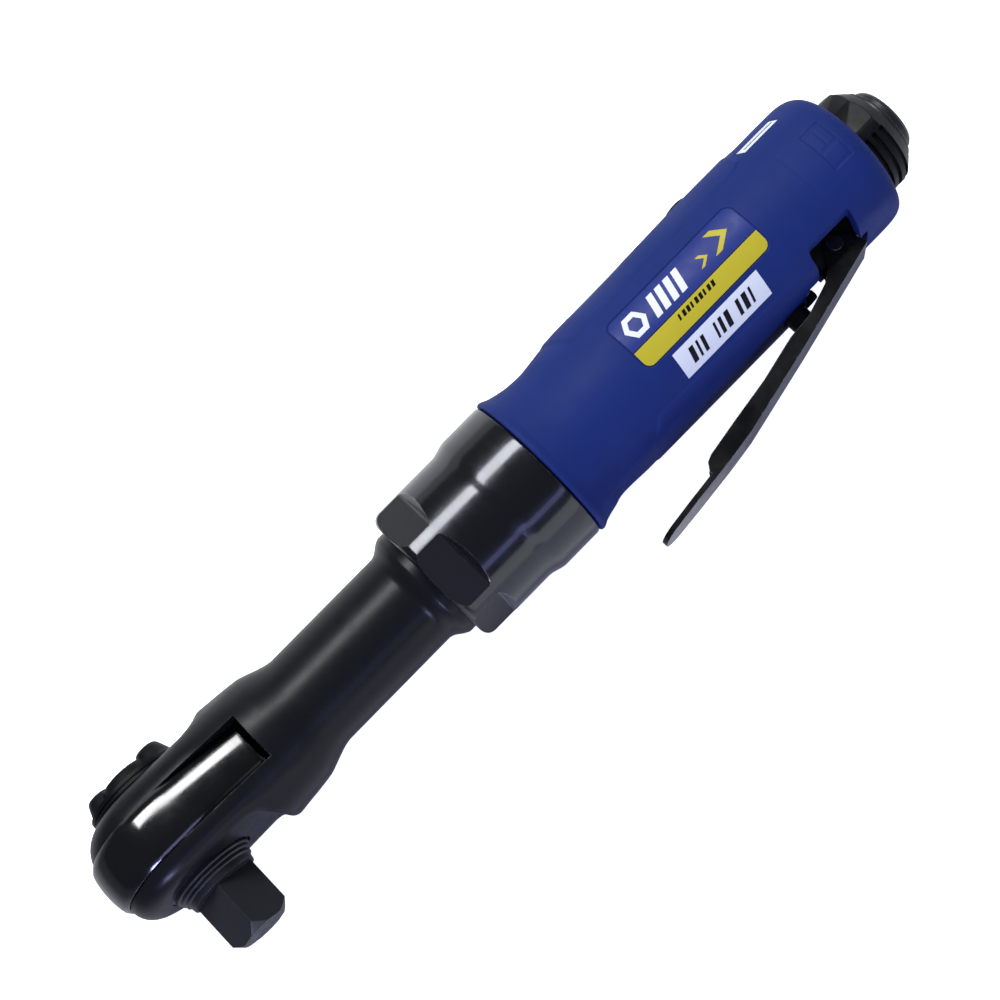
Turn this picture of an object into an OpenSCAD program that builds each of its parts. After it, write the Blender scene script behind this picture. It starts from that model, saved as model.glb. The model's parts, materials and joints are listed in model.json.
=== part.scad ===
// Air ratchet with a 1/2 inch square drive, as separate working pieces.
// Frame: the origin is where the drive axis crosses the long axis of the tool.
// +X runs along the tool to the air inlet, +Y to the reversing knob (the square
// drive and the throttle lever are on the -Y side), +Z out of the label side.

/* [Drive head] */
// Size of the square drive across its flats
square_af = 12.7; // [12.6:0.05:12.8]
// Turn of the square about the drive axis
square_turn = 3; // [-20:1:20]
// Radius of the two ears round the drive axis
ear_r = 20.8; // [20.4:0.1:21.2]
// Height of the knob-side ear face
ear_top = 14.1; // [13.9:0.1:14.1]
// Depth of the drive-side ear face
ear_bottom = 12.5; // [12.4:0.1:12.7]
// Upper wall of the yoke slot
slot_top = 7.3; // [7.2:0.1:7.5]
// Lower wall of the yoke slot
slot_bottom = 6.6; // [6.5:0.1:6.8]
// Rear end of the yoke slot
slot_end = 32.6; // [32.4:0.1:33]
// Teeth inside the yoke
yoke_teeth = 36; // [30:1:40]
// Largest radius of the yoke, at the crown of its rim
yoke_r = 22.9; // [22:0.1:23]

/* [Neck and nut] */
// Radius of the slim part of the neck
neck_r = 14.1; // [13.9:0.1:14.5]
// Radius of the shoulder behind the ears
shoulder_r = 18.3; // [18:0.1:18.6]
// Size of the clamp nut across its flats
nut_af = 38.1; // [37.9:0.1:38.3]
// Front face of the clamp nut
nut_front = 90; // [90:0.1:90.4]
// Rear face of the clamp nut
nut_rear = 129.6; // [129.2:0.1:129.8]

/* [Crank and gears] */
// Throw of the crank pin
crank_throw = 2.6; // [2.4:0.1:2.6]
// Gear module
gear_mod = 0.6; // [0.59:0.01:0.6]
// Teeth of the sun gear cut on the rotor
sun_teeth = 12; // [12:1:12]
// Teeth of each planet gear
planet_teeth = 18; // [18:1:18]

/* [Air motor] */
// Radius of the rotor
rotor_r = 11.9; // [11.7:0.1:11.9]
// Number of rotor vanes
vanes = 6; // [4:1:6]
// How far the cylinder bore sits off the rotor axis
bore_offset = 1.2; // [1:0.1:1.2]

/* [Grip and lever] */
// Largest radius of the grip
grip_r = 22.35; // [22.2:0.05:22.4]
// Rear end of the grip
grip_end = 245; // [244.9:0.1:245.3]
// Place of the lever pin along the tool
lever_pin_x = 222.5; // [222.5:0.1:222.5]
// Place of the lever pin below the long axis
lever_pin_y = -15.2; // [-15.2:0.1:-15.2]
// Place of the throttle valve along the tool
valve_x = 203.5; // [203.5:0.1:203.5]
// Thickness of the lever's sheet steel
lever_t = 1.5; // [1.5:0.1:1.5]
// Width of the lever
lever_w = 13.2; // [13.2:0.1:13.6]

/* [Hidden] */
$fn = 96;
over = 1;           // how far a cutter runs past the face it opens
run = 0.05;         // radial clearance of a running fit
seat = 0.01;        // radial clearance between pieces that don't move

black_steel = "#1b1b1f";
bright_steel = "#9a9ca0";
nut_steel = "#2b2b30";
black_plastic = "#1a1a1c";
grip_blue = "#20307a";

// drive head
lower_bore_r = 12.45;
upper_bore_r = 9;
crank_room_front = 17;
neck_bore_r = 9.5;
spot_r = 23;                        // spot faces round the ears
taper_turn = 5.9;                   // taper of the ears towards the neck
ear_end = 28.5;
spigot_end = 99.3;
spigot_r = 15.2;
neck_rear_r = 16.7;
yoke_top = slot_top - 0.1;
yoke_bottom = slot_bottom - 0.1;
yoke_turn = 22;                     // taper of the yoke towards its fork
yoke_end = 30;
yoke_tip_r = 13;
yoke_root_r = 14.2;
fork_half = 8.6;
anvil_r = lower_bore_r - run;
journal_r = upper_bore_r - run;
anvil_top = 15.9;
ring_y0 = 14.7;
ring_y1 = 15.5;
ring_groove_r = 8.35;
collar_y = 0.2 - ear_bottom;         // where the anvil steps in, just inside the ear face
drive_start = -17.7;                // where the square begins
drive_end = -32.6;
knob_hole_r = 5;
pawl_half_h = 4.4;
pawl_pin_x = -8.6;
pawl_pin_r = 1.3;
plunger_hole_r = 1.25;
ball_r = 1.95;
ball_y = -25.6;

// crank and planet gears
ring_teeth = sun_teeth + 2 * planet_teeth;
sun_pitch_r = gear_mod * sun_teeth / 2;
planet_orbit = gear_mod * (sun_teeth + planet_teeth) / 2;
pressure_angle = 25;
addendum = 0.85 * gear_mod;
dedendum = 1.15 * gear_mod;
backlash = 0.1;
crank_pin_r = 2.9;
bush_r = 4.6;
bush_x0 = 22.6;
crank_disc_x0 = 33.2;
crank_disc_x1 = 37.6;
shaft_r = 6.5;
carrier_r = 13.2;
carrier_x0 = 99.6;
planet_x0 = 103;
planet_x1 = 111.8;
cage_x1 = 114.9;
sun_shaft_r = 4.1;
planet_pin_r = 2;

// motor
thread_r = 19.6;
housing_r = 18.2;
gear_bore_r = 17.52;
motor_bore_r = 16.2;
gear_bore_end = 119.9;
bulkhead_x = 184.85;
motor_x0 = 127;
motor_x1 = 177;
plate_r = motor_bore_r - seat;
rotor_journal_r = 4.5;
bearing_r = 9.5;
vane_t = 1.5;
dowel_y = -14.1;

// valve
valve_bore_r = 6;
guide_r = 3.35;
plunger_r = 3.3;
plunger_tip_r = 3.5;                // dome that the lever pushes
plunger_tip_y = -21.58;             // centre of that dome
seat_y = 4;

// rear end
pocket_front = 213.1;               // front wall of the lever pocket in the grip
pocket_y = -11.3;                   // top of the lever pocket in the casting
pocket_x0 = 211;
pocket_x1 = 230.5;
inlet_bore_r = 7.5;
inlet_x0 = 226;
bushing_x0 = 233;
rear_spigot_r = 11;
rear_spigot_x0 = 239.6;
rear_spigot_x1 = 253.9;
oring_x0 = rear_spigot_x1 - 2.1;
deflector_r = 14.9;
deflector_x0 = rear_spigot_x0 + 1.6;
deflector_x1 = rear_spigot_x1 - 0.1;
inlet_end = 257.9;
npt_r = 5.6;                        // 1/4 inch pipe thread
npt_length = 12;

// ---- helpers ----
module along_x(x = 0) translate([x, 0, 0]) rotate([90, 0, 90]) children();
module along_y(y = 0) translate([0, y, 0]) rotate([-90, 0, 0]) children();
module rod_x(x0, x1, r) along_x(x0) cylinder(h = x1 - x0, r = r);
module rod_y(y0, y1, r) along_y(y0) cylinder(h = y1 - y0, r = r);
module ring_x(x0, x1, outer, inner) difference() {
    rod_x(x0, x1, outer);
    rod_x(x0 - over, x1 + over, inner);
}
module ring_y(y0, y1, outer, inner) difference() {
    rod_y(y0, y1, outer);
    rod_y(y0 - over, y1 + over, inner);
}
module turned_x(outline) along_x() rotate_extrude() polygon(outline);
module turned_y(outline) along_y() rotate_extrude() polygon(outline);
module block(low, high) translate(low) cube(high - low);

// points of an arc from angle a0 to a1, n steps
function arc(cx, cy, r, a0, a1, n = 8) =
    [for (i = [0:n]) [cx + r * cos(a0 + (a1 - a0) * i / n), cy + r * sin(a0 + (a1 - a0) * i / n)]];

// half straight, half smooth step from 0 to 1
function ease(t) = (t + t * t * (3 - 2 * t)) / 2;

// involute gear outline; grow is added to every radius, thick to each tooth
function involute_angle(base, r) = sqrt(max(0, r * r / (base * base) - 1)) * 180 / PI
    - acos(min(1, base / r));
function gear_points(teeth, tip, root, slack, steps = 5) = let (
    pitch = gear_mod * teeth / 2,
    base = pitch * cos(pressure_angle),
    half = 90 / teeth + involute_angle(base, pitch) - slack / pitch * 90 / PI,
    low = max(root, base)
) [for (k = [0:teeth - 1]) let (mid = k * 360 / teeth) each concat(
    root < base ? [let (a = mid - half) [root * cos(a), root * sin(a)]] : [],
    [for (i = [0:steps]) let (r = low + (tip - low) * i / steps, a = mid - half + involute_angle(base, r))
        [r * cos(a), r * sin(a)]],
    [for (i = [steps:-1:0]) let (r = low + (tip - low) * i / steps, a = mid + half - involute_angle(base, r))
        [r * cos(a), r * sin(a)]],
    root < base ? [let (a = mid + half) [root * cos(a), root * sin(a)]] : [])];

// round wire coiled about Z
module coil(height, coil_r, wire_r, turns, sides = 8, steps = 18) {
    n = turns * steps;
    rise = height - 2 * wire_r;
    points = [for (i = [0:n]) let (a = 360 * i / steps, z = wire_r + rise * i / n)
        for (j = [0:sides - 1]) let (b = 360 * j / sides)
            [(coil_r + wire_r * cos(b)) * cos(a), (coil_r + wire_r * cos(b)) * sin(a), z + wire_r * sin(b)]];
    walls = [for (i = [0:n - 1], j = [0:sides - 1]) let (k = (j + 1) % sides)
        each [[i * sides + j, i * sides + k, (i + 1) * sides + k],
              [i * sides + j, (i + 1) * sides + k, (i + 1) * sides + j]]];
    first = [for (j = [1:sides - 2]) [0, j + 1, j]];
    last = [for (j = [1:sides - 2]) [n * sides, n * sides + j, n * sides + j + 1]];
    polyhedron(points = points, faces = concat(walls, first, last));
}

// ---- drive head ----
// A rim that narrows to a tail. Its edge, in (height, reach) order, is swept along two lines that close in
// behind the drive axis. The tail is a hair wider and thinner than the turned rim, so that no faces coincide.
tail_wider = 0.03;
tail_thinner = 0.998;
module tapered_side(edge, turn) {
    section = [for (p = edge) [p[0] * tail_thinner, p[1] + tail_wider]];
    rotate([0, turn, 0]) along_x() linear_extrude(height = 60)
        polygon(concat([[section[0][0], -40]], section, [[section[len(section) - 1][0], -40]]));
}
module tail(edge, turn, end) intersection() {
    tapered_side(edge, turn);
    mirror([0, 0, 1]) tapered_side(edge, turn);
    block([-over, -40, -40], [end, 40, 40]);
}

// edge of an ear in (height, reach) order, swept or turned
top_round = [7, 6.7];                // reach and height of the rounding
bottom_round = [5.8, 5.8];
ear_edge = concat(
    [for (i = [0:10]) let (a = 90 - 9 * i) [ear_top - top_round[1] * (1 - sin(a)), ear_r - top_round[0] * (1 - cos(a))]],
    [for (i = [0:10]) let (a = 9 * i) [-ear_bottom + bottom_round[1] * (1 - sin(a)),
        ear_r - bottom_round[0] * (1 - cos(a))]]);
blend_x0 = 12;
blend_grow = 5.2;
ear_blend = [for (i = [0:12]) let (t = i / 12)
    [shoulder_r + blend_grow * (1 + cos(180 * t)) / 2, blend_x0 + (ear_end - blend_x0) * t]];

module ears() intersection() {
    union() {
        turned_y(concat([[0, ear_top]], [for (p = ear_edge) [p[1], p[0]]], [[0, -ear_bottom]]));
        tail(ear_edge, taper_turn, ear_end);
    }
    turned_x(concat([[0, -40], [40, -40], [40, blend_x0]], ear_blend, [[shoulder_r, 60], [0, 60]]));
}

neck_outline = concat(
    [[0, 8], [shoulder_r, 8], [shoulder_r, 25], [18, 28.5], [17, 37.6], [16.7, 38.9], [16.2, 40.3], [14.75, 44.3],
        [14.3, 46], [neck_r, 47.8]],
    [for (i = [0:6]) let (t = i / 6) [neck_r + (neck_rear_r - neck_r) * ease(t), 83 + 5 * t]],
    [[neck_rear_r, 93], [spigot_r, 93], [spigot_r, spigot_end], [0, spigot_end]]);

module ratchet_housing() color(black_steel) difference() {
    union() {
        ears();
        difference() {
            turned_x(neck_outline);
            rod_y(ear_top, 40, spot_r);
            rod_y(-40, -ear_bottom, spot_r);
        }
    }
    block([-40, -slot_bottom, -40], [slot_end, slot_top, 40]);
    rod_y(-40, 0, lower_bore_r);
    rod_y(0, 40, upper_bore_r);
    rod_x(crank_room_front, spigot_end + over, neck_bore_r);
}

yoke_mid = (yoke_top - yoke_bottom) / 2;
yoke_half = (yoke_top + yoke_bottom) / 2;
// crowned rim: 1 mm lower at its edges than in the middle, with a small round
yoke_edge = [for (i = [0:12]) let (s = 1 - i / 6, y = yoke_mid + s * yoke_half)
    [y, yoke_r - 0.9 * s * s - 0.7 * pow(abs(s), 12)]];
yoke_bore = [for (i = [0:yoke_teeth - 1]) let (a = 360 * i / yoke_teeth, b = a + 180 / yoke_teeth)
    each [[yoke_tip_r * cos(a), yoke_tip_r * sin(a)], [yoke_root_r * cos(b), yoke_root_r * sin(b)]]];

module ratchet_yoke() color(black_steel) difference() {
    union() {
        turned_y(concat([[0, yoke_top]], [for (p = yoke_edge) [p[1], p[0]]], [[0, -yoke_bottom]]));
        tail(yoke_edge, yoke_turn, yoke_end);
    }
    along_y(-10) linear_extrude(height = 20) polygon(yoke_bore);
    block([18.5, -10, -fork_half], [yoke_end + over, 10, fork_half]);
}

square_corner_r = square_af * 0.703;
anvil_outline = [[0, anvil_top], [journal_r, anvil_top], [journal_r, ring_y1 + 0.05],
    [ring_groove_r, ring_y1 + 0.05], [ring_groove_r, ring_y0 - 0.05], [journal_r, ring_y0 - 0.05],
    [journal_r, yoke_top], [anvil_r, yoke_top], [anvil_r, collar_y], [11.7, collar_y], [11.7, -13.5],
    [11.1, -13.8], [11.1, -14.6], [10.5, -14.9], [10.5, -15.7], [9.9, -16], [9.6, drive_start], [0, drive_start]];

module ball_axis() rotate([0, square_turn - 45, 0]) translate([0, ball_y, 0]) rotate([0, -90, 0]) children();

module drive_anvil() color(bright_steel) difference() {
    union() {
        turned_y(anvil_outline);
        intersection() {
            rotate([0, 45 + square_turn, 0])
                block([-square_af / 2, drive_end, -square_af / 2], [square_af / 2, drive_start + over, square_af / 2]);
            turned_y([[0, drive_start + over], [square_corner_r, drive_start + over],
                [square_corner_r, drive_end + 2.3], [6.6, drive_end], [0, drive_end]]);
        }
    }
    rod_y(-pawl_half_h - 0.1, anvil_top + over, knob_hole_r);
    block([-14, -pawl_half_h - 0.1, -9.5], [-3.5, pawl_half_h + 0.1, 9.5]);
    translate([pawl_pin_x, 0, 0]) rod_y(-6, yoke_top + over, pawl_pin_r + seat);
    ball_axis() cylinder(h = 8, r = ball_r + run);
}

pawl_outline = [[-9.6, 7.4], [-11, 3], [-11.2, 0], [-11, -3], [-9.6, -7.4],
    [-7.9, -6.8], [-6.5, -2], [-6.9, 0], [-6.5, 2], [-7.9, 6.8]];
module ratchet_pawl() color(bright_steel) difference() {
    along_y(-pawl_half_h) linear_extrude(height = 2 * pawl_half_h) polygon(pawl_outline);
    translate([pawl_pin_x, 0, 0]) rod_y(-10, 10, pawl_pin_r + run);
}
module pawl_pin() color(bright_steel) translate([pawl_pin_x, 0, 0]) rod_y(-5.9, yoke_top - 0.2, pawl_pin_r);

knob_base_r = 14;
knob_y0 = 14.3;
knob_base_y = 16.8;
module lobe(side) translate([side * 8.4, 0, 0]) turned_y([[0, knob_base_y - over], [5.6, knob_base_y - over],
    [5.6, 20.2], [5.1, 21.2], [4.1, 21.8], [2.6, 22.1], [0, 22.1]]);
module reverse_knob() color(black_plastic) difference() {
    union() {
        turned_y([[0, knob_y0], [knob_base_r, knob_y0], [knob_base_r, 15.4], [knob_base_r - 0.8, 15.7],
            [knob_base_r - 0.8, 16.2], [knob_base_r - 1.4, knob_base_y], [0, knob_base_y]]);
        turned_y([[0, knob_base_y - over], [8.6, knob_base_y - over], [8.6, 19.8], [7.6, 20.8], [0, 20.8]]);
        for (side = [-1, 1]) lobe(side);
        rod_y(-pawl_half_h, knob_base_y, knob_hole_r - run);
    }
    ring_y(knob_y0 - over, 16.1, 11.2, knob_hole_r - run);
    along_y(0) rotate([0, -90, 0]) translate([0, 0, 1]) cylinder(h = 6, r = plunger_hole_r);
}
module pawl_plunger() color(bright_steel) rotate([0, -90, 0]) union() {
    translate([0, 0, 3.2]) cylinder(h = 1.3, r = plunger_hole_r - run);
    translate([0, 0, 4.5]) sphere(r = plunger_hole_r - run);
}
module pawl_plunger_spring() color(bright_steel) rotate([0, -90, 0]) translate([0, 0, 1.02])
    coil(height = 2.1, coil_r = 0.85, wire_r = 0.2, turns = 3);
module anvil_washer() color(bright_steel) ring_y(ear_top + 0.02, ear_top + 0.5, 10.9, upper_bore_r + run);
module anvil_retaining_ring() color(bright_steel) difference() {
    ring_y(ring_y0, ring_y1, 10.6, ring_groove_r + seat);
    block([0, 10, -1.6], [14, 20, 1.6]);
}
module socket_ball() color(bright_steel) ball_axis() translate([0, 0, square_af / 2 - 1.1]) sphere(r = ball_r);
module socket_ball_spring() color(bright_steel) ball_axis() translate([0, 0, 0.05])
    coil(height = square_af / 2 - 1.1 - ball_r - 0.1, coil_r = 1.4, wire_r = 0.25, turns = 3);

// ---- crank and planet gears ----
module at_planet(i) along_x() rotate([0, 0, 90 + 120 * i]) translate([planet_orbit, 0, 0]) children();
// the crank pin stands on the +Y side of the axis at rest
module drive_bush() color("#b08d57") translate([0, crank_throw, 0])
    ring_x(bush_x0, crank_disc_x0 - 2.2, bush_r, crank_pin_r + run);
module crankshaft() color(bright_steel) difference() {
    union() {
        translate([0, crank_throw, 0]) rod_x(bush_x0 - 0.2, crank_disc_x0 + over, crank_pin_r);
        translate([0, crank_throw, 0]) rod_x(crank_disc_x0 - 2, crank_disc_x0 + over, crank_pin_r + 0.9);
        rod_x(crank_disc_x0, crank_disc_x1, 9);
        rod_x(crank_disc_x1 - over, carrier_x0 + over, shaft_r);
        rod_x(carrier_x0, planet_x0 - 0.2, carrier_r);
        rod_x(planet_x1 + 0.2, cage_x1, carrier_r);
        rod_x(cage_x1 - over, 119.6, bearing_r - 0.5);
        for (i = [0:2]) along_x() rotate([0, 0, 150 + 120 * i]) translate([10.6, 0, planet_x0 - over])
            cylinder(h = planet_x1 - planet_x0 + 2 * over, r = 2.4);
    }
    rod_x(101, 121, sun_shaft_r + 0.5);
    for (i = [0:2]) at_planet(i) translate([0, 0, carrier_x0 + 0.6])
        cylinder(h = 20, r = planet_pin_r + seat);
}
module planet_pins() color(bright_steel) for (i = [0:2]) at_planet(i) translate([0, 0, carrier_x0 + 0.65])
    cylinder(h = cage_x1 - carrier_x0 - 0.9, r = planet_pin_r);
module needle_bearing(x0) color(bright_steel) ring_x(x0, x0 + 12, neck_bore_r - seat, shaft_r + run);
module needle_bearing_front() needle_bearing(41);
module needle_bearing_rear() needle_bearing(80);

// at rest a sun tooth and a ring tooth both stand at angle 0
module planet_gear(i) color("#8f8a80") {
    place = 90 + 120 * i;
    tooth = place + 180 - (0.5 - place * sun_teeth / 360) * 360 / planet_teeth;
    pitch = gear_mod * planet_teeth / 2;
    along_x(planet_x0) translate([planet_orbit * cos(place), planet_orbit * sin(place), 0]) difference() {
        rotate([0, 0, tooth]) linear_extrude(height = planet_x1 - planet_x0)
            polygon(gear_points(planet_teeth, pitch + addendum, pitch - dedendum, backlash));
        translate([0, 0, -over]) cylinder(h = 20, r = planet_pin_r + run);
    }
}
module planet_gear_1() planet_gear(0);
module planet_gear_2() planet_gear(1);
module planet_gear_3() planet_gear(2);

ring_pitch = gear_mod * ring_teeth / 2;
// the tooth spaces of the ring are the teeth of a gear half a tooth round
module ring_gear() color(bright_steel) difference() {
    rod_x(93.2, 113.5, gear_bore_r - seat);
    rod_x(93, spigot_end + 0.2, spigot_r + seat);
    along_x(spigot_end) rotate([0, 0, 180 / ring_teeth]) linear_extrude(height = 16)
        polygon(gear_points(ring_teeth, ring_pitch + dedendum, ring_pitch - addendum, -backlash, 3));
}

// ---- clamp nut ----
nut_flat_x = 99.6;
nut_body_r = 21.1;
nut_skirt_r = 22.2;
module nut_flat() linear_extrude(height = 60, center = true)
    polygon([[nut_af / 2, nut_front - over], [nut_af / 2, nut_flat_x], [nut_af / 2 + 2.6, nut_flat_x + 2.3],
        [40, nut_flat_x + 2.3], [40, nut_front - over]]);
module clamp_nut() color(nut_steel) difference() {
    turned_x(concat([[0, nut_front]], [for (p = arc(nut_body_r - 3, nut_front + 3, 3, -90, 0)) p],
        [[nut_body_r, 112.6], [nut_skirt_r, 117], [nut_skirt_r, nut_rear - 0.6],
         [nut_skirt_r - 0.6, nut_rear], [0, nut_rear]]));
    for (i = [0:5]) along_x() rotate([0, 0, 111.5 + 60 * i]) rotate([90, 0, 0]) nut_flat();
    rod_x(nut_front - over, nut_rear, neck_rear_r + 0.15);
    rod_x(93.1, nut_rear, gear_bore_r + 0.08);
    rod_x(104.5, nut_rear + over, thread_r + seat);
}

// ---- air motor ----
module bearing_holder() color("#8a8d92") difference() {
    rod_x(113.6, gear_bore_end - 0.02, gear_bore_r - seat);
    rod_x(113, gear_bore_end + over, carrier_r + 0.3);
    rod_x(115.4, gear_bore_end + over, 15 + seat);
}
module ball_bearing(x0, x1, outer, inner) color(bright_steel) difference() {
    ring_x(x0, x1, outer, inner);
    groove = (outer - inner) / 2;
    for (x = [x0 - over, x1 - 0.3]) ring_x(x, x + 0.3 + over, inner + groove * 1.5, inner + groove * 0.5);
}
module carrier_bearing() ball_bearing(115.45, 119.75, 15, bearing_r - 0.5 + run);
module front_end_plate() color("#8a8d92") difference() {
    rod_x(120, motor_x0, plate_r);
    rod_x(119, 125, bearing_r + seat);
    rod_x(119, motor_x0 + over, rotor_journal_r + 0.7);
    translate([0, dowel_y, 0]) rod_x(123.9, motor_x0 + over, 1.2 + seat);
}
module front_bearing() ball_bearing(120.3, 124.9, bearing_r, rotor_journal_r + run);
module rotor() color(bright_steel) difference() {
    union() {
        along_x(planet_x0 + 0.4) linear_extrude(height = planet_x1 - planet_x0)
            polygon(gear_points(sun_teeth, sun_pitch_r + addendum, sun_pitch_r - dedendum, backlash));
        rod_x(planet_x1 + 0.2, 121, sun_shaft_r);
        rod_x(120.3, 184, rotor_journal_r);
        rod_x(motor_x0 + 0.15, motor_x1 - 0.15, rotor_r);
    }
    for (i = [0:vanes - 1]) rotate([360 * i / vanes, 0, 0])
        block([motor_x0 - over, rotor_r - 6.3, -vane_t / 2 - run], [motor_x1 + over, rotor_r + over, vane_t / 2 + run]);
}
module rotor_vanes() color("#6b4a2b") for (i = [0:vanes - 1]) rotate([360 * i / vanes, 0, 0])
    block([motor_x0 + 0.2, rotor_r - 6.2, -vane_t / 2], [motor_x1 - 0.2, rotor_r - 0.1, vane_t / 2]);
module motor_cylinder() color(bright_steel) difference() {
    rod_x(motor_x0 + seat, motor_x1 - seat, plate_r);
    translate([0, bore_offset, 0]) rod_x(motor_x0 - over, motor_x1 + over, rotor_r + bore_offset + 0.1);
    translate([0, dowel_y, 0]) rod_x(motor_x0 - over, motor_x1 + over, 1.2 + seat);
    for (x = [140, 152, 164]) translate([x, 0, 0]) rotate([-30, 0, 0]) cylinder(h = 30, r = 2);
}
module cylinder_pin() color(bright_steel) translate([0, dowel_y, 0]) rod_x(124, 180, 1.2);
module rear_end_plate() color("#8a8d92") difference() {
    rod_x(motor_x1, 184, plate_r);
    rod_x(179, 185, bearing_r + seat);
    rod_x(motor_x1 - over, 185, rotor_journal_r + 0.7);
    translate([0, dowel_y, 0]) rod_x(motor_x1 - over, 180.1, 1.2 + seat);
}
module rear_bearing() ball_bearing(179.1, 183.7, bearing_r, rotor_journal_r + run);
module motor_gasket() color("#3c3c38") ring_x(184.02, 184.8, plate_r - 0.1, 11.5);

// ---- handle casting ----
module motor_housing() color("#3a3b40") difference() {
    union() {
        rod_x(105.2, 129.7, thread_r);
        turned_x([[0, 129], [housing_r, 129], [housing_r, rear_spigot_x0 - 5], [16.6, rear_spigot_x0], [0, rear_spigot_x0]]);
        rod_x(rear_spigot_x0 - over, rear_spigot_x1, rear_spigot_r);
    }
    rod_x(100, gear_bore_end, gear_bore_r);
    rod_x(100, bulkhead_x, motor_bore_r);
    rod_x(inlet_x0, 300, inlet_bore_r + seat);
    // lever pocket, on both sides of the pivot boss
    for (side = [-1, 1]) scale([1, 1, side]) block([pocket_x0 - 0.4, -40, 5], [pocket_x1 + 0.4, pocket_y, 40]);
    block([pocket_x0 - 0.4, -40, -40], [215.5, pocket_y, 40]);
    translate([lever_pin_x, lever_pin_y, -20]) cylinder(h = 40, r = 2.2 + seat);
    // valve bore and its air ways
    translate([valve_x, 0, 0]) rod_y(-30, 30, valve_bore_r + seat);
    translate([0, 6.4, 0]) rod_x(valve_x, inlet_x0 + over, 2.3);
    translate([0, -2, 0]) rod_x(bulkhead_x - over, valve_x, 2.3);
    ring_x(oring_x0, oring_x0 + 1.7, rear_spigot_r + over, 9.3);
}

// radius of the grip along the tool, on its knob side; it ends in a full round
round_x0 = 234;
round_r = 22.1;
round_end_r = 14.6;
grip_round = [for (i = [0:12]) let (a = 7.5 * i, t = pow(sin(a), 0.7), u = pow(cos(a), 0.7))
    [round_end_r + (round_r - round_end_r) * u, round_x0 + (grip_end - round_x0) * t]];
grip_radii = concat([[22.6, 129.9], [21.7, 132.8], [21, 135.4], [20.4, 139], [20.2, 143], [20.6, 147.5],
    [21.3, 153], [21.6, 158], [21.7, 172], [22.05, 190], [grip_r, 206], [grip_r, 219], [22.2, 228]], grip_round);
function closed(outline) = concat([[0, outline[0][1]]], outline, [[0, outline[len(outline) - 1][1]]]);
grip_bore_r = housing_r + seat;

// a shell that lies in the label side of the grip, thick mm deep from top mm below a cone near its surface
label_x0 = 164.5;
label_x1 = 207.8;
label_y0 = -7.3;
label_y1 = 8.2;
band_top = -1.9;                    // where the label's band meets its field
label_corner = 2.2;
cone_r = 22.25;                     // of that cone, at label_x1
cone_slope = 0.0135;
cone_x0 = label_x0 - 5;
cone_x1 = label_x1 + 5;
function cone(x, depth) = [cone_r - cone_slope * (label_x1 - x) - depth, x];
module label_shell(top, thick) intersection() {
    difference() {
        turned_x(closed([cone(cone_x0, top), cone(cone_x1, top)]));
        turned_x(closed([cone(cone_x0 - over, top + thick), cone(cone_x1 + over, top + thick)]));
    }
    linear_extrude(height = 40) children();
}
module label_outline(inset = 0) {
    x0 = label_x0 + inset;
    x1 = label_x1 - inset;
    y0 = label_y0 + inset;
    y1 = label_y1 - inset;
    r = label_corner - inset;
    translate([x0 + r, y0]) square([x1 - x0 - 2 * r, y1 - y0]);
    translate([x0, y0 + r]) square([x1 - x0, y1 - y0 - 2 * r]);
    for (x = [x0 + r, x1 - r], y = [y0 + r, y1 - r]) translate([x, y]) circle(r = r);
}
// the stickers lean a little, like italics
function leaning(x0, x1, y0, y1, lean) = [[x0, y0], [x1, y0], [x1 + lean, y1], [x0 + lean, y1]];
module sticker_outline(grow = 0) polygon(leaning(170.3 - grow, 199.9 + grow, -14.9 - grow, -8.7 + grow, 0.7));
side_turn = 48.7;                   // direction of the side sticker, from the label side towards the knob
side_depth = 21.8;
module at_side(depth = side_depth) rotate([-side_turn, 0, 0]) translate([0, 0, depth]) children();
module side_outline(grow = 0) polygon(leaning(222.5 - grow, 234.2 + grow, -1.45 - grow, 1.45 + grow, -1.2));

module grip_cover() color(grip_blue) difference() {
    intersection() {
        turned_x(closed(grip_radii));
        // the drive side is flatter, and falls away sooner at the rear
        union() {
            translate([0, 40, 0]) rod_x(138, 300, 59.6);
            rod_x(120, 138, 40);
        }
        // so is the knob side at the rear
        union() {
            translate([0, -40, 0]) rod_x(222, 300, 61.4);
            rod_x(120, 222, 40);
        }
        translate([-1.8, 1.2, 0]) turned_x(closed(concat([[26, 100], [26, 220]],
            [for (p = grip_round) [p[0] + 1.6, p[1]]])));
    }
    rod_x(120, rear_spigot_x0 + 0.1, grip_bore_r);
    rod_x(120, 129.8, 30);
    rod_x(rear_spigot_x0 - over, 260, deflector_r + 0.4);
    // lever pocket, with a longer slot in its middle that clears the lever itself
    linear_extrude(height = 80, center = true)
        polygon([[211.6, -40], [211.6, -20.2], [pocket_front, -18.8], [pocket_front, -15.6], [213.7, -14.1],
            [215, -13.5], [228.3, -13.5], [227.7, -18.6], [227.4, -40]]);
    linear_extrude(height = lever_w + 1, center = true)
        polygon([[207.8, -40], [207.8, -19.5], [pocket_front, -14], [pocket_front, -12], [229.2, -12],
            [230.3, -16], [230.3, -20.5], [228.9, -24], [228.9, -40]]);
    translate([valve_x, 0, 0]) rod_y(-30, 0, 4.1);
    translate([valve_x, 0, 0]) rod_y(0, 30, 4.7);
    label_shell(-2, 2.45) label_outline();
    label_shell(-2, 2.25) sticker_outline(0.2);
    at_side() linear_extrude(height = 10) side_outline(0.25);
}

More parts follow.
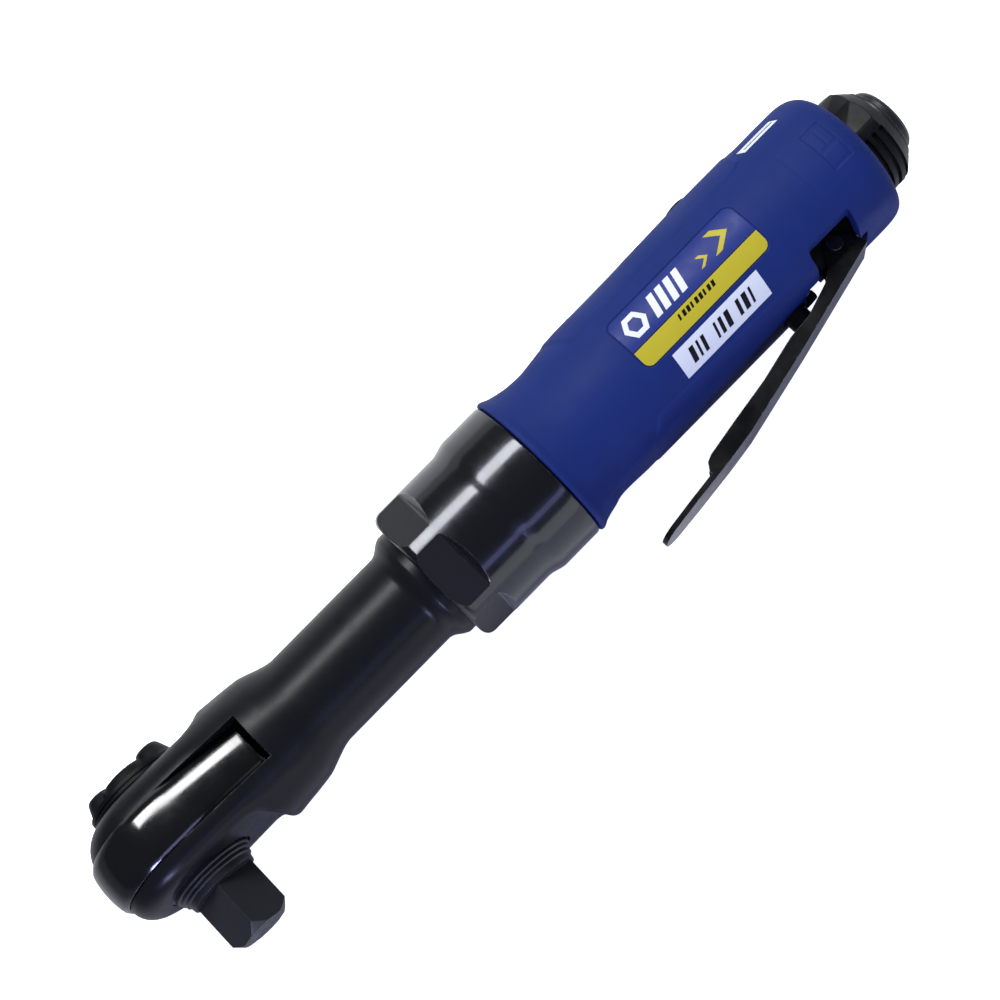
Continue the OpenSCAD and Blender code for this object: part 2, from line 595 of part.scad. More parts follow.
// plain two-colour badge: a blue field over a yellow band
module badge(colour, y0, y1) color(colour) intersection() {
    label_shell(0.1, 0.3) label_outline(0.1);
    block([label_x0, y0, 0], [label_x1, y1, 40]);
}
module badge_label() badge("#2c4fa0", band_top + 0.03, 20);
module badge_band() badge("#e8d41c", -20, band_top - 0.03);
module rating_sticker() color("#f2f2f2") label_shell(0.05, 0.15) sticker_outline();
module side_sticker() color("#f2f2f2") at_side(side_depth + 0.02) linear_extrude(height = 0.15) side_outline();

// ---- throttle ----
// the lever at rest: a bent strip with two flanges and a flat tongue
lever_outer = [[228.4, -20.9], [198.5, -28.05], [172.7, -33.7], [164, -34.9], [150, -36.4], [137.8, -37.7]];
lever_inner = [[137.8, -36.2], [150, -34.9], [164, -33.4], [172.4, -32.2], [198.2, -26.5], [228.05, -19.35]];
lever_flange = [[228.4, -20.9], [198.5, -28.05], [172.7, -33.7], [164, -34.9], [158.6, -35.4],
    [158.2, -33.2], [159.6, -31.3], [161.5, -30.5], [171.8, -28.8], [184.5, -26.9], [197, -24.1], [204, -23.6],
    [213, -20.8], [216.8, -18.4], [218.2, -15.2], [220, -12.7]];
module lever_plate(outline) linear_extrude(height = lever_w, center = true) polygon(outline);
module throttle_lever() color(black_steel) difference() {
    union() {
        intersection() {
            lever_plate(concat(lever_outer, lever_inner));
            // the tongue narrows to a round end
            rotate([90, 0, 0]) linear_extrude(height = 60) union() {
                translate([150, -lever_w / 2]) square([90, lever_w]);
                translate([143.6, 0]) circle(r = 5.8);
                polygon([[143.6, -5.8], [150, -lever_w / 2], [150, lever_w / 2], [143.6, 5.8]]);
            }
        }
        difference() {
            union() {
                lever_plate(concat(lever_flange, [[222.5, -15.2], [227, -15.6]]));
                translate([lever_pin_x, lever_pin_y, -lever_w / 2]) cylinder(h = lever_w, r = 3.6);
            }
            translate([0, 0, -lever_w / 2 + lever_t]) linear_extrude(height = lever_w - 2 * lever_t)
                polygon(concat(lever_inner, [[240, -22], [240, 0], [137.8, 0]]));
        }
    }
    translate([lever_pin_x, lever_pin_y, -20]) cylinder(h = 40, r = 2.2 + run);
}
module lever_pin() color(bright_steel) translate([lever_pin_x, lever_pin_y, -7.2]) cylinder(h = 14.4, r = 2.2);

module at_valve() translate([valve_x, 0, 0]) children();
module valve_bushing() color("#b08d57") difference() {
    at_valve() rod_y(-17.1, seat_y, valve_bore_r);
    at_valve() rod_y(-18, -5.4, guide_r);
    at_valve() rod_y(-6, seat_y + over, 2.5);
    translate([0, -2, 0]) rod_x(valve_x - 10, valve_x, 2.2);
}
module valve_plunger() color(bright_steel) at_valve() difference() {
    union() {
        rod_y(-8.4, seat_y, 1.5);
        rod_y(-23, -8.4, plunger_r);
        intersection() {
            translate([0, plunger_tip_y, 0]) sphere(r = plunger_tip_r);
            rod_y(-26, -22, plunger_r);
        }
    }
    ring_y(-15.1, -13.9, plunger_r + over, 2.4);
}
module plunger_oring() color("#26262a") at_valve() along_y(-14.5) rotate_extrude() translate([2.87, 0]) circle(r = 0.45);
module throttle_valve() color("#b08d57") at_valve() union() {
    rod_y(seat_y + 0.02, 6.4, 4);
    rod_y(6, 9, 1.6);
}
module valve_spring() color(bright_steel) at_valve() along_y(6.42)
    coil(height = 7.6, coil_r = 2.7, wire_r = 0.45, turns = 5);
module air_regulator() color(black_plastic) at_valve() difference() {
    union() {
        rod_y(14.1, 17, valve_bore_r - run);
        rod_y(16, 21.8, 4.4);
        turned_y([[0, 21], [4.4, 21], [4.4, 22.3], [3.9, 22.8], [3, 23], [0, 23]]);
    }
    block([-5, 21.9, -0.6], [5, 24, 0.6]);
}

// ---- air inlet and exhaust ----
inlet_boss_r = 9.6;
module inlet_bushing() color(nut_steel) difference() {
    union() {
        rod_x(bushing_x0, rear_spigot_x1 + 0.5, inlet_bore_r);
        turned_x([[0, rear_spigot_x1 + 0.05], [11.3, rear_spigot_x1 + 0.05], [11.3, rear_spigot_x1 + 1.1],
            [inlet_boss_r, rear_spigot_x1 + 1.5], [inlet_boss_r, inlet_end - 1], [inlet_boss_r - 0.8, inlet_end],
            [0, inlet_end]]);
    }
    rod_x(inlet_end - npt_length, inlet_end + over, npt_r);
    rod_x(bushing_x0 - over, inlet_end, 4.2);
    rod_x(bushing_x0 - over, bushing_x0 + 1.1, 5.6);
}
module inlet_screen() color(bright_steel) difference() {
    rod_x(bushing_x0 + 0.3, bushing_x0 + 1, 5.55);
    for (i = [-3:3], j = [-3:3]) if (i * i + j * j < 10)
        along_x(bushing_x0) translate([1.35 * i, 1.35 * j, 0]) cylinder(h = 2, r = 0.5);
}
module deflector_oring() color("#26262a") along_x(oring_x0 + 0.85) rotate_extrude() translate([10.15, 0]) circle(r = 0.8);
module exhaust_muffler() color("#6d6a62") ring_x(deflector_x0 + 0.2, deflector_x0 + 10.2, 12.9, rear_spigot_r + seat);
deflector_rear_r = 12.2;
module exhaust_deflector() color(black_plastic) difference() {
    intersection() {
        union() {
            along_x(deflector_x0) rotate([0, 0, 4]) cylinder(h = deflector_x1 - deflector_x0, r = deflector_r, $fn = 12);
            // round on the lever side
            intersection() {
                rod_x(deflector_x0, deflector_x1, deflector_r);
                block([deflector_x0 - over, -20, -20], [deflector_x1 + over, -1.5, 20]);
            }
        }
        turned_x([[0, deflector_x0 - over], [deflector_r, deflector_x0 - over], [deflector_r, deflector_x1 - 3.2],
            [deflector_rear_r, deflector_x1], [0, deflector_x1]]);
    }
    rod_x(deflector_x0 - over, deflector_x1 + over, rear_spigot_r + run);
    rod_x(deflector_x0 - over, deflector_x0 + 10.4, 13.1);
    // grooves on the lever side
    for (x = [deflector_x0 + 3.4, deflector_x0 + 6, deflector_x0 + 8.6]) intersection() {
        ring_x(x, x + 1.2, 20, 13.7);
        block([deflector_x0, -20, -20], [deflector_x1, -4, 20]);
    }
}

ratchet_housing();
ratchet_yoke();
drive_anvil();
ratchet_pawl();
pawl_pin();
reverse_knob();
pawl_plunger();
pawl_plunger_spring();
anvil_washer();
anvil_retaining_ring();
socket_ball();
socket_ball_spring();
drive_bush();
crankshaft();
needle_bearing_front();
needle_bearing_rear();
planet_gear_1();
planet_gear_2();
planet_gear_3();
planet_pins();
ring_gear();
clamp_nut();
bearing_holder();
carrier_bearing();
front_end_plate();
front_bearing();
rotor();
rotor_vanes();
motor_cylinder();
cylinder_pin();
rear_end_plate();
rear_bearing();
motor_gasket();
motor_housing();
grip_cover();
throttle_lever();
lever_pin();
valve_bushing();
valve_plunger();
plunger_oring();
throttle_valve();
valve_spring();
air_regulator();
inlet_bushing();
inlet_screen();
deflector_oring();
exhaust_muffler();
exhaust_deflector();
badge_label();
badge_band();
rating_sticker();
side_sticker();
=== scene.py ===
"""Air ratchet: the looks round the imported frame. Metres; +X to the air inlet, +Y to the knob, +Z out of the label."""
import json
import math

import bmesh
import bpy
import numpy as np
from mathutils import Matrix, Vector


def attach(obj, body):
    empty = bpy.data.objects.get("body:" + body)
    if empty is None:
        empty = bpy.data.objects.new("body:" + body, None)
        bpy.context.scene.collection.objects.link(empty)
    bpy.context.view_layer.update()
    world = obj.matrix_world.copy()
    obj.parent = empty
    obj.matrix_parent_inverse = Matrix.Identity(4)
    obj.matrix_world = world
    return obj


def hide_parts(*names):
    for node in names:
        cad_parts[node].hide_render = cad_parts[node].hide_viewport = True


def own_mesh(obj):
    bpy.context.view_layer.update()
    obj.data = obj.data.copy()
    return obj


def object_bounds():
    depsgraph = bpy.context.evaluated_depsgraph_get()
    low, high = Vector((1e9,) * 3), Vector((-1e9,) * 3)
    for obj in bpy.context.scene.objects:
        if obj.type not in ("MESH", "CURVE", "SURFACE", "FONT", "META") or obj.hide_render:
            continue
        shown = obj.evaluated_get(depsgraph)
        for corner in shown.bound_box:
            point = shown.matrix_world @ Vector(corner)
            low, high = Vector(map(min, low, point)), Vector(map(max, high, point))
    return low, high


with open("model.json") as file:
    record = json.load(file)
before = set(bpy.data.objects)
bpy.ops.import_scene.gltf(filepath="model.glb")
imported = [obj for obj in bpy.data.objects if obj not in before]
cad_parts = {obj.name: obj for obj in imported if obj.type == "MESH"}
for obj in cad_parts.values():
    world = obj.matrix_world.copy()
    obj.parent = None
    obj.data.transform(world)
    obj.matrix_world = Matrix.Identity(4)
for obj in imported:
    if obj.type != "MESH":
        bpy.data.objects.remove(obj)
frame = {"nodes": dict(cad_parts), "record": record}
nodes = frame["nodes"]
cad_low, cad_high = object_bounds()
MM = 0.001


# ---------------------------------------------------------------- materials
class Look:
    """A Principled material with short calls for its procedural nodes. Lengths are in millimetres."""

    def __init__(self, name, colour, roughness=0.4, metallic=0.0, specular=0.5, coat=0.0, coat_roughness=0.1):
        self.material = bpy.data.materials.new(name)
        self.material.use_nodes = True
        self.nodes = self.material.node_tree.nodes
        self.links = self.material.node_tree.links
        self.shader = self.nodes["Principled BSDF"]
        self.set(self.shader, "Base Color", (*colour, 1))
        self.set(self.shader, "Roughness", roughness)
        self.set(self.shader, "Metallic", metallic)
        self.set(self.shader, "Specular IOR Level", specular)
        self.set(self.shader, "Coat Weight", coat)
        self.set(self.shader, "Coat Roughness", coat_roughness)
        self.place = self.nodes.new("ShaderNodeTexCoord").outputs["Object"]
        self.normal = None

    def set(self, node, key, value):
        if isinstance(value, bpy.types.NodeSocket):
            self.links.new(value, node.inputs[key])
        else:
            node.inputs[key].default_value = value

    def stretched(self, scale):
        """The object's coordinates in millimetres, stretched by a scale for each axis."""
        node = self.nodes.new("ShaderNodeMapping")
        self.set(node, "Vector", self.place)
        self.set(node, "Scale", [1000 * s for s in scale])
        return node.outputs["Vector"]

    def noise(self, size, detail=3, rough=0.55, stretch=(1, 1, 1)):
        """Noise whose features are about size millimetres across; about 0.5 on average."""
        node = self.nodes.new("ShaderNodeTexNoise")
        self.set(node, "Vector", self.stretched(stretch))
        self.set(node, "Scale", 1 / size)
        self.set(node, "Detail", detail)
        self.set(node, "Roughness", rough)
        return node.outputs["Fac"]

    def cells(self, size):
        """Distance to the nearest of many points about size millimetres apart."""
        node = self.nodes.new("ShaderNodeTexVoronoi")
        self.set(node, "Vector", self.stretched((1, 1, 1)))
        self.set(node, "Scale", 1 / size)
        return node.outputs["Distance"]

    def span(self, value, low, high, out_low=0.0, out_high=1.0):
        node = self.nodes.new("ShaderNodeMapRange")
        self.set(node, "Value", value)
        for key, number in (("From Min", low), ("From Max", high), ("To Min", out_low), ("To Max", out_high)):
            self.set(node, key, number)
        return node.outputs["Result"]

    def math(self, operation, a, b):
        node = self.nodes.new("ShaderNodeMath")
        node.operation = operation
        self.set(node, 0, a)
        self.set(node, 1, b)
        return node.outputs[0]

    def mix(self, factor, a, b):
        node = self.nodes.new("ShaderNodeMix")
        node.data_type = "RGBA"
        self.set(node, "Factor", factor)
        for key, colour in ((6, a), (7, b)):
            self.set(node, key, colour if isinstance(colour, bpy.types.NodeSocket) else (*colour, 1))
        return node.outputs[2]

    def bump(self, height, depth, strength=1.0):
        """Adds a relief of depth millimetres to the surface."""
        node = self.nodes.new("ShaderNodeBump")
        self.set(node, "Height", height)
        self.set(node, "Distance", depth * MM)
        self.set(node, "Strength", strength)
        if self.normal is not None:
            self.set(node, "Normal", self.normal)
        self.normal = node.outputs["Normal"]

    def soften(self, radius):
        """Rounds the shading of sharp edges by radius millimetres. Comes before any bump."""
        node = self.nodes.new("ShaderNodeBevel")
        node.samples = 4
        self.set(node, "Radius", radius * MM)
        self.normal = node.outputs["Normal"]

    def edges(self, radius):
        """About 1 on sharp edges, 0 elsewhere."""
        bevel = self.nodes.new("ShaderNodeBevel")
        bevel.samples = 4
        self.set(bevel, "Radius", radius * MM)
        geometry = self.nodes.new("ShaderNodeNewGeometry")
        dot = self.nodes.new("ShaderNodeVectorMath")
        dot.operation = "DOT_PRODUCT"
        self.set(dot, 0, bevel.outputs["Normal"])
        self.set(dot, 1, geometry.outputs["Normal"])
        return self.span(dot.outputs["Value"], 0.995, 0.9)

    def done(self):
        if self.normal is not None:
            self.set(self.shader, "Normal", self.normal)
        return self.material


def forged_black():
    """Black oxide forging: satin, with a faint skin left by the dies and handling marks."""
    look = Look("forged_black", (0.0066, 0.0074, 0.0094), 0.3, 0.0, 0.15, 0.0)
    skin = look.noise(2.4, 3)
    smudge = look.noise(16, 3, 0.6)
    look.set(look.shader, "Roughness", look.span(look.math("ADD", skin, smudge), 0.7, 1.3, 0.27, 0.36))
    wear_and_edge_glint = look.math("MULTIPLY", look.edges(0.35), look.span(look.noise(2.5, 3), 0.5, 0.7))
    look.set(look.shader, "Base Color", look.mix(wear_and_edge_glint, (0.0066, 0.0074, 0.0094), (0.09, 0.09, 0.10)))
    look.soften(0.3)
    look.bump(look.noise(0.35, 2), 0.004, 0.3)
    return look.done()


def polished_black():
    """The same oxide on the yoke's turned and polished rim."""
    look = Look("polished_black", (0.0055, 0.006, 0.0072), 0.12, 0.0, 0.8, 0.1, 0.05)
    smudge = look.noise(9, 3, 0.6)
    pits = look.span(look.noise(0.55, 3, 0.7), 0.60, 0.70)
    look.set(look.shader, "Roughness", look.span(smudge, 0.35, 0.7, 0.10, 0.20))
    wear_and_edge_glint = look.math("MULTIPLY", look.edges(0.3), look.span(look.noise(1.8, 3), 0.45, 0.6))
    look.set(look.shader, "Base Color", look.mix(wear_and_edge_glint, (0.0055, 0.006, 0.0072), (0.22, 0.22, 0.23)))
    look.soften(0.3)
    look.bump(pits, 0.006, 0.4)
    return look.done()


def turned_black(name="turned_black", axis_stretch=(6, 0.15, 0.15), colour=(0.027, 0.029, 0.035)):
    """Polished black steel with fine turning marks and specks that catch the light."""
    look = Look(name, colour, 0.2, 0.75, 0.5, 0.35, 0.08)
    marks = look.noise(1.0, 4, 0.7, axis_stretch)
    specks = look.noise(0.45, 2)
    look.set(look.shader, "Roughness", look.span(look.math("ADD", marks, look.noise(6, 3)), 0.7, 1.3, 0.14, 0.26))
    # lighter edges: partly wear, partly a painted highlight along the rims (it gives the lever pin its bright ring)
    wear_and_edge_glint = look.math("MULTIPLY", look.edges(0.3), look.span(look.noise(1.5, 3), 0.40, 0.60))
    look.set(look.shader, "Base Color", look.mix(wear_and_edge_glint, colour, (0.30, 0.30, 0.31)))
    look.soften(0.25)
    look.bump(marks, 0.004, 0.5)
    look.bump(look.span(specks, 0.60, 0.72), 0.008, 0.6)
    return look.done()


def milled_black():
    """The wrench flats of the nut: the same blackened steel, but cut across and duller."""
    look = Look("milled_black", (0.010, 0.0105, 0.0135), 0.42, 0.0, 0.22)
    cuts = look.noise(900, 2, stretch=(2.2, 0.05, 0.05))
    look.set(look.shader, "Roughness", look.span(cuts, 0.3, 0.7, 0.32, 0.52))
    look.bump(cuts, 0.00002, 0.5)
    return look.done()


def ground_steel(name, colour, roughness=0.3, metallic=1.0):
    look = Look(name, colour, roughness, metallic)
    marks = look.noise(0.8, 4, 0.6, (0.6, 5, 0.6))
    look.set(look.shader, "Roughness", look.span(marks, 0.3, 0.7, roughness - 0.08, roughness + 0.12))
    look.set(look.shader, "Base Color", look.mix(look.noise(5, 3), [c * 0.8 for c in colour], colour))
    look.soften(0.2)
    look.bump(marks, 0.006, 0.5)
    return look.done()


def glossy_paint():
    """Black paint on sheet steel, with a light orange peel."""
    look = Look("glossy_paint", (0.0032, 0.0037, 0.0045), 0.18, 0.0, 0.3, 0.15, 0.06)
    look.set(look.shader, "Roughness", look.span(look.noise(9, 3), 0.3, 0.7, 0.16, 0.30))
    # lighter edges: partly wear, partly a painted highlight along the lever's rims
    wear_and_edge_glint = look.math("MULTIPLY", look.edges(0.3), look.span(look.noise(1.8, 4), 0.55, 0.68))
    look.set(look.shader, "Base Color", look.mix(wear_and_edge_glint, (0.0032, 0.0037, 0.0045), (0.20, 0.20, 0.21)))
    look.soften(0.25)
    look.bump(look.noise(0.9, 2), 0.02, 0.3)
    return look.done()


def moulded_black():
    look = Look("moulded_black", (0.0042, 0.0048, 0.0060), 0.4, 0.0, 0.14)
    look.set(look.shader, "Roughness", look.span(look.noise(4, 3), 0.3, 0.7, 0.34, 0.46))
    look.soften(0.3)
    look.bump(look.noise(0.25, 2), 0.012, 0.5)
    return look.done()


GRIP_BLUE = (0.0074, 0.0200, 0.126)


def blue_composite():
    """Blue glass-filled composite: a fine matt grain, slight mottling and polished spots where it is held."""
    look = Look("blue_composite", GRIP_BLUE, 0.6, 0.0, 0.10)
    grain = look.noise(0.28, 2, 0.6)
    mottle = look.noise(7, 4)
    look.set(look.shader, "Base Color", look.mix(mottle, [c * 0.88 for c in GRIP_BLUE], [c * 1.12 for c in GRIP_BLUE]))
    look.set(look.shader, "Roughness", look.span(look.noise(16, 3), 0.35, 0.65, 0.54, 0.66))
    look.bump(grain, 0.02, 0.45)
    look.bump(look.noise(1.1, 2), 0.02, 0.25)
    return look.done()


def vinyl(name, colour, roughness=0.3):
    look = Look(name, colour, roughness, 0.0, 0.15)
    look.set(look.shader, "Base Color", look.mix(look.noise(5, 3), [c * 0.93 for c in colour], colour))
    look.set(look.shader, "Roughness", look.span(look.noise(3, 3), 0.3, 0.7, roughness - 0.06, roughness + 0.08))
    look.bump(look.noise(1.4, 2), 0.01, 0.3)
    return look.done()


def plain(name, colour, roughness, metallic=0.0, grain=0.4):
    """Hidden pieces: a little colour and roughness variation at the right scale."""
    look = Look(name, colour, roughness, metallic)
    look.set(look.shader, "Base Color", look.mix(look.noise(3, 3), [c * 0.8 for c in colour], colour))
    look.set(look.shader, "Roughness", look.span(look.noise(2, 3), 0.3, 0.7, roughness - 0.06, roughness + 0.08))
    look.bump(look.noise(grain, 3), 0.02, 0.4)
    return look.done()


LOOKS = {
    "forged_black": forged_black(),
    "nut_steel": turned_black(),
    "lever_black": glossy_paint(),
    "bright_steel": ground_steel("bright_steel", (0.55, 0.55, 0.56)),
    "dark_steel": ground_steel("dark_steel", (0.016, 0.018, 0.023), 0.38, 0.2),
    "aluminium": ground_steel("aluminium", (0.6, 0.61, 0.62), 0.35),
    "housing_metal": plain("housing_metal", (0.014, 0.014, 0.015), 0.4),
    "bronze": ground_steel("bronze", (0.40, 0.27, 0.12), 0.35),
    "shaded_bronze": ground_steel("shaded_bronze", (0.03, 0.02, 0.012), 0.5),
    "polished_black": polished_black(),
    "blue_grip": blue_composite(),
    "black_plastic": moulded_black(),
    "rubber": plain("rubber", (0.016, 0.016, 0.017), 0.6),
    "gasket_paper": plain("gasket_paper", (0.06, 0.06, 0.05), 0.8),
    "vane_laminate": plain("vane_laminate", (0.23, 0.11, 0.05), 0.6),
    "felt": plain("felt", (0.16, 0.15, 0.13), 0.95),
    "label_blue": vinyl("label_blue", (0.010, 0.024, 0.17), 0.4),
    "label_yellow": vinyl("label_yellow", (0.41, 0.355, 0.026), 0.4),
    "sticker_white": vinyl("sticker_white", (0.57, 0.61, 0.71), 0.45),
    "print_white": vinyl("print_white", (0.62, 0.65, 0.74), 0.4),
    "print_black": vinyl("print_black", (0.006, 0.006, 0.008)),
}


def dress_cad():
    """Gives every CAD node the look of its slot in the record."""
    for part in frame["record"]["subparts"]:
        node = nodes[part["node"]]
        node.data.materials.clear()
        node.data.materials.append(LOOKS[part["material_slot"]])
    # painted shade: the bush, which sits behind the yoke, gets a much darker copy of the bronze
    nodes["drive_bush"].data.materials[0] = LOOKS["shaded_bronze"]


dress_cad()


# ---------------------------------------------------------------- shared mesh tools
SMOOTH_ANGLE = math.radians(34)


def smooth(mesh, angle=SMOOTH_ANGLE):
    """Smooth shading, with sharp edges where the surface turns by more than an angle."""
    mesh.shade_smooth()
    mesh.set_sharp_from_angle(angle=angle)


def add_piece(name, mesh, slot, body, replaced=()):
    """A finished mesh becomes a piece that rides a body and stands for CAD nodes."""
    mesh.materials.clear()
    mesh.materials.append(LOOKS[slot])
    piece = bpy.data.objects.new(name, mesh)
    bpy.context.scene.collection.objects.link(piece)
    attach(piece, body)
    if replaced:
        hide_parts(*replaced)
    return piece


def mesh_from(name, points, faces):
    """A mesh from points in millimetres."""
    mesh = bpy.data.meshes.new(name)
    mesh.from_pydata([tuple(MM * c for c in p) for p in points], [], [tuple(int(i) for i in f) for f in faces])
    mesh.validate()
    return mesh


def rounded(node, slot, body, radius, segments=2, least_turn=32, weld=0.002):
    """A copy of a CAD node with its flat faces whole and its sharp edges rounded by radius millimetres."""
    shape = bmesh.new()
    shape.from_mesh(nodes[node].data)
    bmesh.ops.remove_doubles(shape, verts=shape.verts, dist=weld * MM)
    bmesh.ops.dissolve_limit(shape, angle_limit=math.radians(0.6), verts=shape.verts, edges=shape.edges)
    sharp = [e for e in shape.edges if len(e.link_faces) == 2 and e.calc_face_angle(0) > math.radians(least_turn)]
    bmesh.ops.bevel(shape, geom=sharp, offset=radius * MM, segments=segments, profile=0.5, affect="EDGES",
                    clamp_overlap=True, harden_normals=False)
    mesh = bpy.data.meshes.new(node + "_look")
    shape.to_mesh(mesh)
    shape.free()
    smooth(mesh)
    piece = add_piece(node + "_look", mesh, slot, body, (node,))
    flats = piece.modifiers.new("flats", "WEIGHTED_NORMAL")
    flats.keep_sharp = True
    flats.weight = 100
    return piece


def step(value, low, high):
    """Smooth step from 0 at low to 1 at high, for numbers or arrays."""
    t = np.clip((value - low) / (high - low), 0, 1)
    return t * t * (3 - 2 * t)


def curve(points, x):
    """Smooth curve through (x, y) points, without overshoot."""
    px, py = np.array(points, float).T
    slope = np.diff(py) / np.diff(px)
    inner = np.where(slope[1:] * slope[:-1] > 0, 2 * slope[1:] * slope[:-1] / (slope[1:] + slope[:-1] + 1e-12), 0)
    tangent = np.concatenate([slope[:1], inner, slope[-1:]])
    k = np.clip(np.searchsorted(px, x) - 1, 0, len(px) - 2)
    width = px[k + 1] - px[k]
    t = np.clip((x - px[k]) / width, 0, 1)
    return ((1 + 2 * t) * (1 - t) ** 2 * py[k] + t * (1 - t) ** 2 * width * tangent[k]
            + t * t * (3 - 2 * t) * py[k + 1] + t * t * (t - 1) * width * tangent[k + 1])


def lower_of(a, b, radius):
    """The lower of two heights, blended over about a radius."""
    h = np.clip(0.5 + 0.5 * (b - a) / radius, 0, 1)
    return b * (1 - h) + a * h - radius * h * (1 - h)


def rounded_box_distance(x, y, low, high, corner):
    """Distance outside a rounded rectangle in the plane, negative inside."""
    dx = np.abs(x - (low[0] + high[0]) / 2) - (high[0] - low[0]) / 2 + corner
    dy = np.abs(y - (low[1] + high[1]) / 2) - (high[1] - low[1]) / 2 + corner
    return np.hypot(np.maximum(dx, 0), np.maximum(dy, 0)) + np.minimum(np.maximum(dx, dy), 0) - corner


# ---------------------------------------------------------------- grip
# radius along the tool on the knob side, as (x, radius)
GRIP_RADII = [(129.9, 22.1), (130.15, 22.5), (130.7, 22.6), (132.8, 21.75), (135.4, 21.05), (139, 20.4), (143, 20.2),
              (147.5, 20.6), (153, 21.3), (158, 21.6), (172, 21.7), (190, 22.05), (206, 22.35), (219, 22.35),
              (228, 22.2), (234, 22.1), (240, 22.1)]
GRIP_ROUND = 234            # where the rear round begins
GRIP_END = 244.9
GRIP_END_R = 15.5
GRIP_BORE = 18.21
DEFLECTOR_BORE = 15.3
LABEL_LOW, LABEL_HIGH, LABEL_CORNER = (164.5, -7.3), (207.8, 8.2), 2.2
BAND_TOP = -1.9
STICKER = [(170.3, -14.9), (199.9, -14.9), (200.6, -8.7), (171.0, -8.7)]
VALVE_X = 203.5


def upper_panel(x, turn):
    """1 on the raised panel of the knob side, 0 off it. turn is in degrees from the label side towards the knob."""
    front = 156.5 - 4.1 * np.clip((turn - 40) / 27, 0, 1)
    past_front = step(x - front, -0.9, 0.9)
    before_rear = step(219.4 + 0.6 * step(turn, 50, 60) - x, -0.6, 0.6)
    away = 90 - np.abs(turn - 90)
    corner = 4 * step(x, 216, 219.6)
    return past_front * before_rear * step(away, 37.2 + corner, 39.6 + corner)


def lower_pad(x, turn):
    """1 on the raised pad of the lever side."""
    away = 90 - np.abs(turn + 90)
    front = 158.5 - 5 * np.clip((away - 48) / 17, 0, 1)
    return step(x - front, -0.8, 0.8) * step(away, 46.4, 49.2) * step(213 - x, -2, 2)


def grip_radius(x, turn):
    """Outer radius of the grip at x millimetres and turn degrees, without the marks moulded into it."""
    s = np.sin(np.radians(turn))
    along = np.clip((x - GRIP_ROUND) / (GRIP_END - GRIP_ROUND), 0, 1)
    radius = GRIP_END_R + (curve(GRIP_RADII, np.minimum(x, 240)) - GRIP_END_R) * (1 - along ** 2.9) ** (1 / 2.9)
    drive_flat = 40 * s + np.sqrt(1600 * s * s + 1952.0)
    flat = lower_of(radius, drive_flat, 0.9)
    amount = step(x, 137, 141)
    radius = radius + (flat - radius) * amount
    knob_flat = -40 * s + np.sqrt(1600 * s * s + 2170.0)
    radius = radius + (lower_of(radius, knob_flat, 0.6) - radius) * step(x, 221.5, 224)
    raised = 0.35 * upper_panel(x, turn) + 0.32 * lower_pad(x, turn)
    return radius + raised - 0.2 * step(x, 149, 156) * step(232 - x, 0, 12)


def moulded_marks(x, turn, y):
    """Depth of the recesses in the label side."""
    facing = np.abs(turn) < 75
    label = 0.3 * step(-rounded_box_distance(x, y, LABEL_LOW, LABEL_HIGH, LABEL_CORNER), -0.45, -0.15)
    frame_distance = rounded_box_distance(x, y, (232.6, -5.8), (239.6, 6.8), 0.5)
    emblem = 0.22 * step(-frame_distance, -0.15, 0.15)
    for low, high in (((233.5, -4.8), (238.7, -1.0)), ((233.5, 0.2), (235.8, 5.8)), ((236.6, 0.2), (238.7, 5.8))):
        emblem = emblem - 0.12 * step(-rounded_box_distance(x, y, low, high, 0.4), -0.15, 0.15)
    soft_step = 0.1 * step(x, 224.4, 225.2) * step(y, -8.6, -7.4) * step(9.6 - y, 0, 2.4) * step(238 - x, 0, 10)
    return facing * (label + emblem + soft_step)


def fine_steps(stops):
    """Positions from (start, spacing) pairs; the last pair's start is the end."""
    values = []
    for (start, spacing), (end, _) in zip(stops, stops[1:]):
        values += list(np.linspace(start, end, max(1, round((end - start) / spacing)), endpoint=False))
    return np.array(values + [stops[-1][0]])


def make_grip():
    columns = fine_steps([(-180, 1.5), (-60, 0.6), (-25, 0.3), (-15, 0.6), (18, 0.3), (27, 0.5), (60, 1.0), (180, 1)])[:-1]
    rows = fine_steps([(129.9, 0.12), (130.9, 0.35), (163.6, 0.15), (167, 0.6), (205.4, 0.15), (208.6, 0.4),
                       (224, 0.2), (225.8, 0.4), (232.2, 0.14), (240, 0.3), (243, 0.1), (GRIP_END, 1)])
    x, turn = np.meshgrid(rows, columns, indexing="ij")
    s, c = np.sin(np.radians(turn)), np.cos(np.radians(turn))
    radius = grip_radius(x, turn)
    radius = radius - moulded_marks(x, turn, radius * s)
    pulled = 0.8 * (1 - s) * np.clip((x - 228) / (GRIP_END - 228), 0, 1)
    rings = [np.stack([x - pulled, radius * s, radius * c], axis=2)]
    turns, last_pull = np.radians(columns), pulled[-1]
    for ring_x, ring_r in ((GRIP_END + 0.1, DEFLECTOR_BORE), (238.6, DEFLECTOR_BORE), (238.6, GRIP_BORE),
                           (129.9, GRIP_BORE)):
        shift = last_pull if ring_x > GRIP_END else 0 * last_pull
        ring = np.stack([ring_x - shift, ring_r * np.sin(turns), ring_r * np.cos(turns)], axis=1)
        rings.append(ring[None])
    points = np.concatenate(rings)
    ring_count, column_count = points.shape[:2]
    i, j = np.meshgrid(np.arange(ring_count), np.arange(column_count), indexing="ij")
    along, across = (i + 1) % ring_count, (j + 1) % column_count
    faces = np.stack([i * column_count + j, along * column_count + j, along * column_count + across,
                      i * column_count + across], axis=2).reshape(-1, 4)
    mesh = mesh_from("grip_look", points.reshape(-1, 3), faces)
    for cutter in lever_pocket_cutters():
        cut(mesh, cutter)
    smooth(mesh, math.radians(40))
    return add_piece("grip_look", mesh, "blue_grip", "tool_body", ("grip_cover",))


